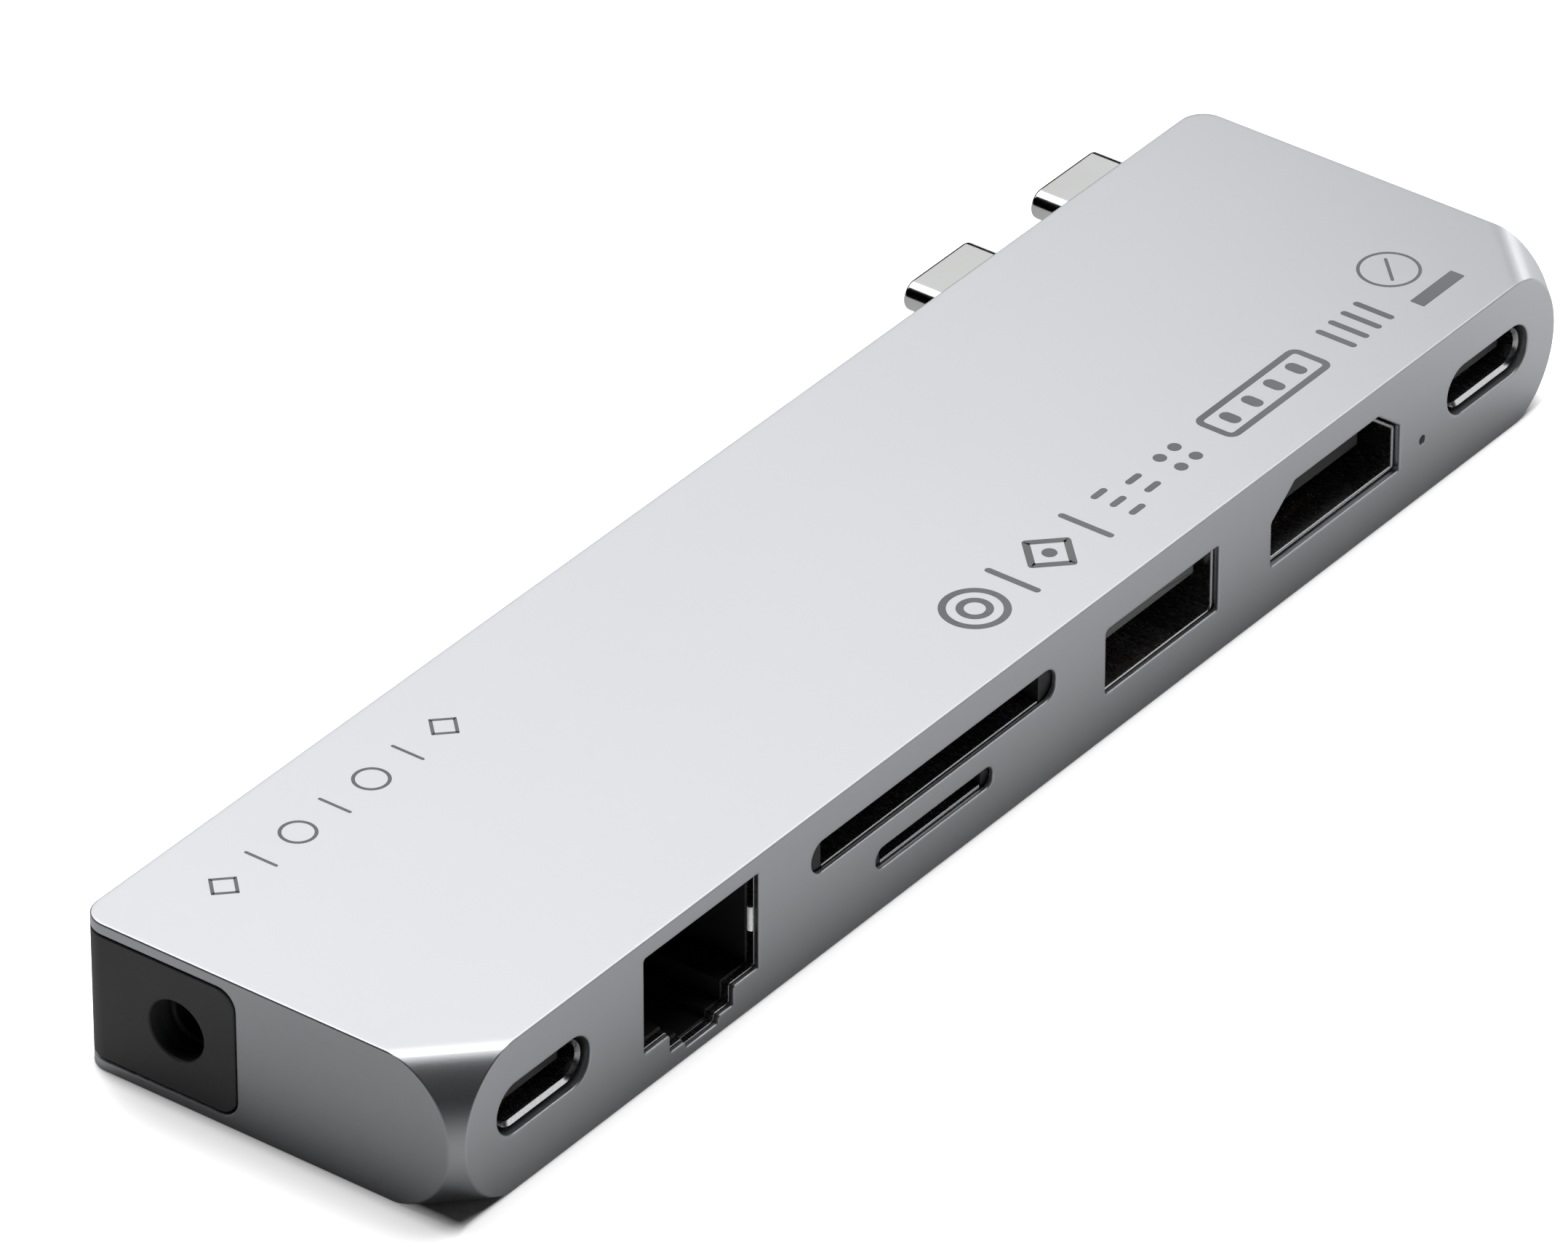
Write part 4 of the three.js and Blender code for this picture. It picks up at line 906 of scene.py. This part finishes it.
finishes["tinned_spring"] = grained("tinned_spring", (0.78, 0.78, 0.78), (0.9, 0.9, 0.89),
                                    (0.4, 0.5), 0.0, 0.2, 0.1)
spring = leaf(LINER - 0.06, 0.1, 0.06)
for side, x in (("left", -1), ("right", 1)):
    wall = net_x + x * (NET_STEPS[0][0] / 2 - 0.07)
    outline = np.column_stack([wall - x * spring[:, 1], net_low[1] + 0.03 + spring[:, 0]])
    tab = soft_bar(outline[::x], np.zeros(3), HEIGHT - 6.2, HEIGHT - 4.3, 0.02, "z", 2)
    fit(new_piece(f"network_tab_{side}", *tab, finishes["tinned_spring"]), "port_steel")

# %% [markdown]
# ## Card slots
# Behind the two slots stand the card readers. A thin steel lip runs along the lower edge of each slot,
# where the card slides over it.

# %% Card slot lips
slots = (("sd", sd_at, SD_Z, 12.1, 1.15), ("microsd", microsd_at, MICROSD_Z, 5.6, 0.6))
for name, at, z, half, height in slots:
    front = span(f"{name}_frame")[0][1]
    bottom = z - height
    lip_low = (at[0] - half, front - 0.02, bottom - 0.18)
    lip_high = (at[0] + half, front + 1.6, bottom + 0.08)
    lip = soft_block(lip_low, lip_high, 0.08, 3)
    fit(new_piece(f"{name}_slot_lip", *lip), "port_steel")

# %% [markdown]
# ## Large rectangular socket
# A folded steel tube with a tongue in its upper half. Four contacts lie under the tongue, and two bowed
# springs press up from the tube's floor.

# %% USB-A receptacle
a_low, a_high = span("usb_a_shell")
a_size = a_high - a_low
at = a_at * [1, 0, 1]
shell = sheet_tube(rounded(box_corners(a_size[0], a_size[2]), 0.6, 5), at, a_low[1], a_high[1], 0.3)
fit(new_piece("a_socket_shell", *shell), "port_steel", "usb_a_shell")
core_low, core_high = span("usb_a_core")
tongue_z = 1.22
tongue = soft_bar(rounded(box_corners(11.2, 1.84), 0.25, 4), at + [0, 0, tongue_z],
                  core_low[1], a_low[1] + 10.2, 0.3)
base = soft_bar(rounded(box_corners(a_size[0] - 0.8, a_size[2] - 0.8), 0.3, 3), at,
                a_low[1] + 10, core_high[1], 0.15)
finishes["tongue_plastic"] = grained("tongue_plastic", (0.05, 0.05, 0.052), (0.075, 0.075, 0.077),
                                     (0.35, 0.45), 0.0, 0.2, 0.2)
core = joined([tongue, base])
fit(new_piece("a_socket_core", *core, finishes["tongue_plastic"]), "port_plastic", "usb_a_core")
gold = strips([(x, 0, 0) for x in (-3.5, -1, 1, 3.5)], (1.0, 7.6, 0.12), at + [0, a_low[1] + 6, 0.24], 0.04)
fit(new_piece("a_socket_contacts", *gold), "contact_gold", "usb_a_contacts")
spring = leaf(7.0, 0.35, 0.12)
for name, x in (("left", -3.1), ("right", 3.1)):
    floor_z = a_low[2] + 0.3
    outline = np.column_stack([a_low[1] + 5.2 + spring[:, 0], floor_z + 0.01 + spring[:, 1]])
    tab = soft_bar(outline, np.array([at[0] + x, 0, 0]), -0.8, 0.8, 0.04, "x", 2)
    fit(new_piece(f"a_socket_spring_{name}", *tab), "port_steel")

# %% [markdown]
# ## Video socket
# A steel tube with two cut corners, narrow side up, and a flat tongue in its middle.

# %% Video receptacle
v_low, v_high = span("video_shell")
at = video_at * [1, 0, 1]
shell = sheet_tube(rounded(video_corners(0.15), 0.3, 5), at, v_low[1], v_high[1], 0.3)
fit(new_piece("video_socket_shell", *shell), "port_steel", "video_shell")
tip = span("video_core")[0][1]
tongue = soft_bar(rounded(box_corners(11.4, 1.2), 0.2, 3), at, tip, tip + 5.6, 0.15)
base = soft_bar(rounded(video_corners(0.5), 0.3, 4), at, tip + 5.4, v_high[1] - 0.2, 0.15)
fit(new_piece("video_socket_core", *joined([tongue, base])), "port_plastic", "video_core")
offsets = [(i - 4.5, 0, 0.6) for i in range(10)] + [(i - 4, 0, -0.6) for i in range(9)]
gold = strips(offsets, (0.4, 3.4, 0.06), at + [0, tip + 3.7, 0])
fit(new_piece("video_socket_contacts", *gold), "contact_gold")

# %% [markdown]
# ## Plugs
# Two polished plugs stand out of the back. Each is a drawn tube whose tip is rolled round, over a black
# core with a slot, and gold contacts inside the slot.

# %% Plugs
for index, place in enumerate(plug_at, 1):
    at = place * [1, 0, 1]
    low, high = span(f"usb_c_plug_{index}_shell")
    size = high - low
    shell = sheet_tube(slot_outline(size[0], size[2], 14), at, high[1], low[1], 0.3, lip=0.9)
    fit(new_piece(f"c_plug_{index}_shell", *shell), "plug_steel", f"usb_c_plug_{index}_shell")
    core_low, core_high = span(f"usb_c_plug_{index}_core")
    core_size = core_high - core_low
    core = drilled(slot_outline(core_size[0], core_size[2]), slot_outline(6.69, 1.1), at, core_high[1],
                   core_low[1], blind=4.9, edge=0.1, rim=0.08)
    fit(new_piece(f"c_plug_{index}_core", *core), "port_plastic", f"usb_c_plug_{index}_core")
    offsets = [(i * 0.5 - 2.75, 0, s * 0.53) for i in range(12) for s in (-1, 1)]
    gold = strips(offsets, (0.24, 3.4, 0.08), at + [0, core_high[1] - 2.6, 0])
    fit(new_piece(f"c_plug_{index}_contacts", *gold), "contact_gold")

# %% [markdown]
# ## Status light
# A clear rod brings the light of a tiny lamp on the board to a pinhole in the front wall. Its dark grey
# # colour is painted shade, for the unlit inside of the hub seen through the clear rod.

# %% Status light
pipe_low, pipe_high = span("status_light_pipe")
at = np.array([status_at[0], 0, STATUS_Z])
rod = soft_bar(slot_outline(STATUS_HOLE - 0.16, STATUS_HOLE - 0.16), at,
               pipe_low[1] + 0.2, FRONT + WALL + 0.4, 0.1)
foot = soft_block((pipe_low[0], FRONT + WALL + 0.1, pipe_low[2]),
                  (pipe_high[0], pipe_high[1], STATUS_Z + 0.2), 0.08)
fit(new_piece("light_rod", *joined([rod, foot])), "light_pipe", "status_light_pipe")

# %% [markdown]
# ## Etched marks
# The top plate carries two rows of fine grey marks. They are plain shapes with no meaning: rings, bars,
# frames and dots. Each is a sheet a few microns proud of the metal, so that it has an edge of its own.

# %% Marks
MARK_TOP = HEIGHT + 0.004
MARK_BOTTOM = HEIGHT - 0.02


def hollow_mark(outline, stroke, x, y):
    """A closed line of even width: an outline and the same outline moved in by the stroke."""
    centre = (LEFT + x, FRONT + y, 0)
    outer, inner = outline, grow(outline, -stroke)
    rings = [ring(outer, centre, MARK_BOTTOM, "z"), ring(outer, centre, MARK_TOP, "z"),
             ring(inner, centre, MARK_TOP, "z"), ring(inner, centre, MARK_BOTTOM, "z")]
    return loft(rings, closed=True)


def solid_mark(outline, x, y):
    """A filled outline."""
    centre = (LEFT + x, FRONT + y, 0)
    return loft([ring(outline, centre, MARK_BOTTOM, "z"), ring(outline, centre, MARK_TOP, "z")])


def turned(outline, degrees):
    c, s = math.cos(math.radians(degrees)), math.sin(math.radians(degrees))
    return outline @ np.array([[c, s], [-s, c]])


def disc(diameter):
    return slot_outline(diameter, diameter, 10)


def bar_shape(width, height):
    return rounded(box_corners(width, height), 0.49 * min(width, height), 3)


# the fine row: a diamond, bars and rings, evenly spaced
FINE = 0.26
fine_y = 25.75
fine_marks = []
for i, x in enumerate(np.linspace(8.2, 31.4, 7)):
    if i in (0, 6):
        diamond = turned(rounded(box_corners(1.9, 1.9), 0.1, 2), 45)
        fine_marks.append(hollow_mark(diamond, FINE, x, fine_y))
    elif i % 2:
        fine_marks.append(solid_mark(bar_shape(FINE, 2.8), x, fine_y))
    else:
        fine_marks.append(hollow_mark(disc(2.7), FINE, x, fine_y))

# the bold row along the front edge
BOLD = 0.55
bold_y = 6.0
bold_marks = [
    hollow_mark(disc(5.0), BOLD, 63.9, bold_y),
    hollow_mark(disc(2.6), BOLD, 63.9, bold_y),
    solid_mark(bar_shape(BOLD, 4.6), 68.2, bold_y),
    hollow_mark(turned(rounded(box_corners(3.4, 3.4), 0.3, 3), 45), BOLD, 72.4, bold_y),
    solid_mark(disc(1.1), 72.4, bold_y),
    solid_mark(bar_shape(BOLD, 4.6), 76.6, bold_y),
]
bold_marks += [solid_mark(bar_shape(1.6, BOLD), 80.3, bold_y + dy) for dy in (-1.6, 0, 1.6)]
bold_marks += [solid_mark(bar_shape(1.6, BOLD), 83.2, bold_y + dy) for dy in (-0.8, 0.8)]
bold_marks += [solid_mark(disc(1.0), 86.4 + 1.7 * i, bold_y + dy) for i in range(2) for dy in (-0.9, 0.9)]
bold_marks.append(hollow_mark(rounded(box_corners(12.0, 3.6), 0.8, 4), BOLD, 97.3, bold_y))
bold_marks += [solid_mark(bar_shape(1.0, 1.7), 97.3 + 2.6 * i, bold_y) for i in (-1.5, -0.5, 0.5, 1.5)]
bold_marks += [solid_mark(bar_shape(BOLD, 3.4), 106.0 + 1.5 * i, bold_y) for i in range(4)]
bold_marks.append(solid_mark(rounded(box_corners(5.0, 1.2), 0.1, 2), 115.5, 4.1))
bold_marks.append(hollow_mark(disc(4.6), 0.25, 115.5, 8.2))
bold_marks.append(solid_mark(turned(bar_shape(3.0, 0.25), 45), 115.5, 8.2))

finishes["etched_mark"] = grained("etched_mark", (0.10, 0.102, 0.106), (0.15, 0.152, 0.156),
                                  (0.5, 0.65), 0.6, 0.08, 0.1)
for name, marks in (("fine_marks", fine_marks), ("bold_marks", bold_marks)):
    points, faces = joined(marks)
    piece = new_piece(name, points, faces, finishes["etched_mark"], weighted=False)
    fit(piece, "anodised_aluminium")

# %% [markdown]
# ## Studio
# A pale floor, a large soft light overhead, softboxes beyond the hub and a weak fill behind the camera.
# The camera is far away with a long lens, so the hub's edges run almost parallel.

# %% Camera
AIM = Vector((-0.66, 4.78, 5.9)) * MM
DISTANCE = 954.6 * MM
HEADING = (0.66377, 0.50058, -0.55572)
LENS = 323.5


def look_along(heading):
    """A camera's rotation: its third axis is against the heading, its first is level."""
    back = -Vector(heading).normalized()
    right = Vector((0, 0, 1)).cross(back).normalized()
    return Matrix((right, back.cross(right), back)).transposed().to_4x4()


camera = bpy.data.objects.new("camera", bpy.data.cameras.new("camera"))
camera.data.sensor_width = 36
camera.data.lens = LENS
camera.data.clip_start = 0.01
stand = AIM - Vector(HEADING).normalized() * DISTANCE
camera.matrix_world = Matrix.Translation(stand) @ look_along(HEADING)
bpy.context.scene.collection.objects.link(camera)
bpy.context.scene.camera = camera


# %% Floor, lights and world
def softbox(name, azimuth, elevation, distance, width, height, radiance, glossy=True, diffuse=True):
    """A flat lamp facing the hub, placed by azimuth and elevation in degrees and distance in metres.

    Its power is pi times radiance times area, which is what a flat lamp of that radiance gives off.
    """
    az, el = math.radians(azimuth), math.radians(elevation)
    place = Vector((math.cos(az) * math.cos(el), math.sin(az) * math.cos(el), math.sin(el))) * distance
    light = bpy.data.lights.new(name, "AREA")
    light.shape = "RECTANGLE"
    light.size, light.size_y = width, height
    light.energy = math.pi * radiance * width * height
    lamp = bpy.data.objects.new(name, light)
    lamp.matrix_world = Matrix.Translation(place) @ look_along(-place)
    lamp.visible_glossy = glossy
    lamp.visible_diffuse = diffuse
    lamp.visible_camera = False
    bpy.context.scene.collection.objects.link(lamp)
    return lamp


softbox("overhead", 28, 58, 1.2, 1.3, 1.3, 6.0, glossy=False)
softbox("far_sky", 64, 43, 0.26, 0.33, 0.15, 0.93)
softbox("upper_sky", 45, 68, 0.8, 1.2, 0.5, 2.2)
softbox("right_card", 12, 15, 0.8, 0.35, 0.26, 2.0)
softbox("side_card", -40, 32, 1.0, 0.5, 0.4, 1.15, diffuse=False)
softbox("camera_side_fill", 217, 45, 1.5, 1.5, 1.5, 0.05, diffuse=False)


def stage_plane(name, z, half):
    mesh = bpy.data.meshes.new(name)
    corners = [(x, y, z) for x, y in box_corners(2 * half, 2 * half)]
    mesh.from_pydata(corners, [], [(0, 1, 2, 3)])
    plane = bpy.data.objects.new(name, mesh)
    bpy.context.scene.collection.objects.link(plane)
    material, nodes, links, shader, place = new_material(name, 0.0)
    shader.inputs["Roughness"].default_value = 0.9
    shader.inputs["Specular IOR Level"].default_value = 0.0
    mesh.materials.append(material)
    return plane, nodes, links, shader, place


def outside_by(nodes, links, place, half_x, half_y):
    """1 outside a rectangle about the origin and 0 inside, in metres: the larger of |x| / half_x and
    |y| / half_y is compared with 1."""
    scale = nodes.new("ShaderNodeVectorMath")
    scale.operation = "MULTIPLY"
    scale.inputs[1].default_value = (1 / half_x, 1 / half_y, 0)
    size = nodes.new("ShaderNodeVectorMath")
    size.operation = "ABSOLUTE"
    parts = nodes.new("ShaderNodeSeparateXYZ")
    larger = nodes.new("ShaderNodeMath")
    larger.operation = "MAXIMUM"
    links.new(place, scale.inputs[0])
    links.new(scale.outputs["Vector"], size.inputs[0])
    links.new(size.outputs["Vector"], parts.inputs["Vector"])
    links.new(parts.outputs["X"], larger.inputs[0])
    links.new(parts.outputs["Y"], larger.inputs[1])
    return ramp(nodes, links, larger.outputs[0], 0.985, 1.015, 0.0, 1.0)


floor, nodes, links, shader, place = stage_plane("floor", 0.0, 9)
shader.inputs["Base Color"].default_value = (0.9, 0.9, 0.9, 1)
glow = outside_by(nodes, links, place, LENGTH / 2 * MM, WIDTH / 2 * MM)
links.new(tint(nodes, links, glow, (0, 0, 0), (1, 1, 1)), shader.inputs["Emission Color"])
shader.inputs["Emission Strength"].default_value = 0.5
floor.visible_glossy = False
floor.visible_shadow = False

# %% [markdown]
# What the metal mirrors is a darker floor, seen only in reflections, whose colour is painted light and
# shade: lighter beyond the hub's right end, painted shadow of the hub in dark grey along the front, falling
# off further towards the camera. A metal shows its surroundings, so this painted reflection gives the
# walls their slow drop from light to dark.

# %% Floor in reflections
reflected_painted_floor, nodes, links, shader, place = stage_plane("floor_in_reflections", 0.00002, 9)
axes = nodes.new("ShaderNodeSeparateXYZ")
links.new(place, axes.inputs["Vector"])
nearness = nodes.new("ShaderNodeVectorMath")
nearness.operation = "DOT_PRODUCT"
nearness.inputs[1].default_value = (-0.8, -0.6, 0)
links.new(place, nearness.inputs[0])
# painted shade and light: the hub's shadow and the light beyond its right end, as the reflected floor's base
# colour
shades = [
    ramp(nodes, links, axes.outputs["X"], 0.062, 0.125, 0.238, 0.47),
    ramp(nodes, links, axes.outputs["X"], -0.075, -0.055, 0.78, 1.0),
    ramp(nodes, links, nearness.outputs["Value"], 0.075, 0.13, 1.0, 0.15),
]
shade = shades[0]
for factor in shades[1:]:
    product = nodes.new("ShaderNodeMath")
    product.operation = "MULTIPLY"
    links.new(shade, product.inputs[0])
    links.new(factor, product.inputs[1])
    shade = product.outputs[0]
links.new(shade, shader.inputs["Base Color"])
# a faint painted glow that lifts the deepest painted shadow seen in the corner cuts
shader.inputs["Emission Color"].default_value = (1, 1, 1, 1)
shader.inputs["Emission Strength"].default_value = 0.009
reflected_painted_floor.visible_camera = False
reflected_painted_floor.visible_diffuse = False
reflected_painted_floor.visible_shadow = False

world = bpy.data.worlds.new("studio")
bpy.context.scene.world = world
world.use_nodes = True
world.node_tree.nodes["Background"].inputs["Color"].default_value = (1, 1, 1, 1)
world.node_tree.nodes["Background"].inputs["Strength"].default_value = 1.0
world.cycles_visibility.glossy = False
world.cycles_visibility.diffuse = False
bpy.context.scene.view_settings.view_transform = "Standard"
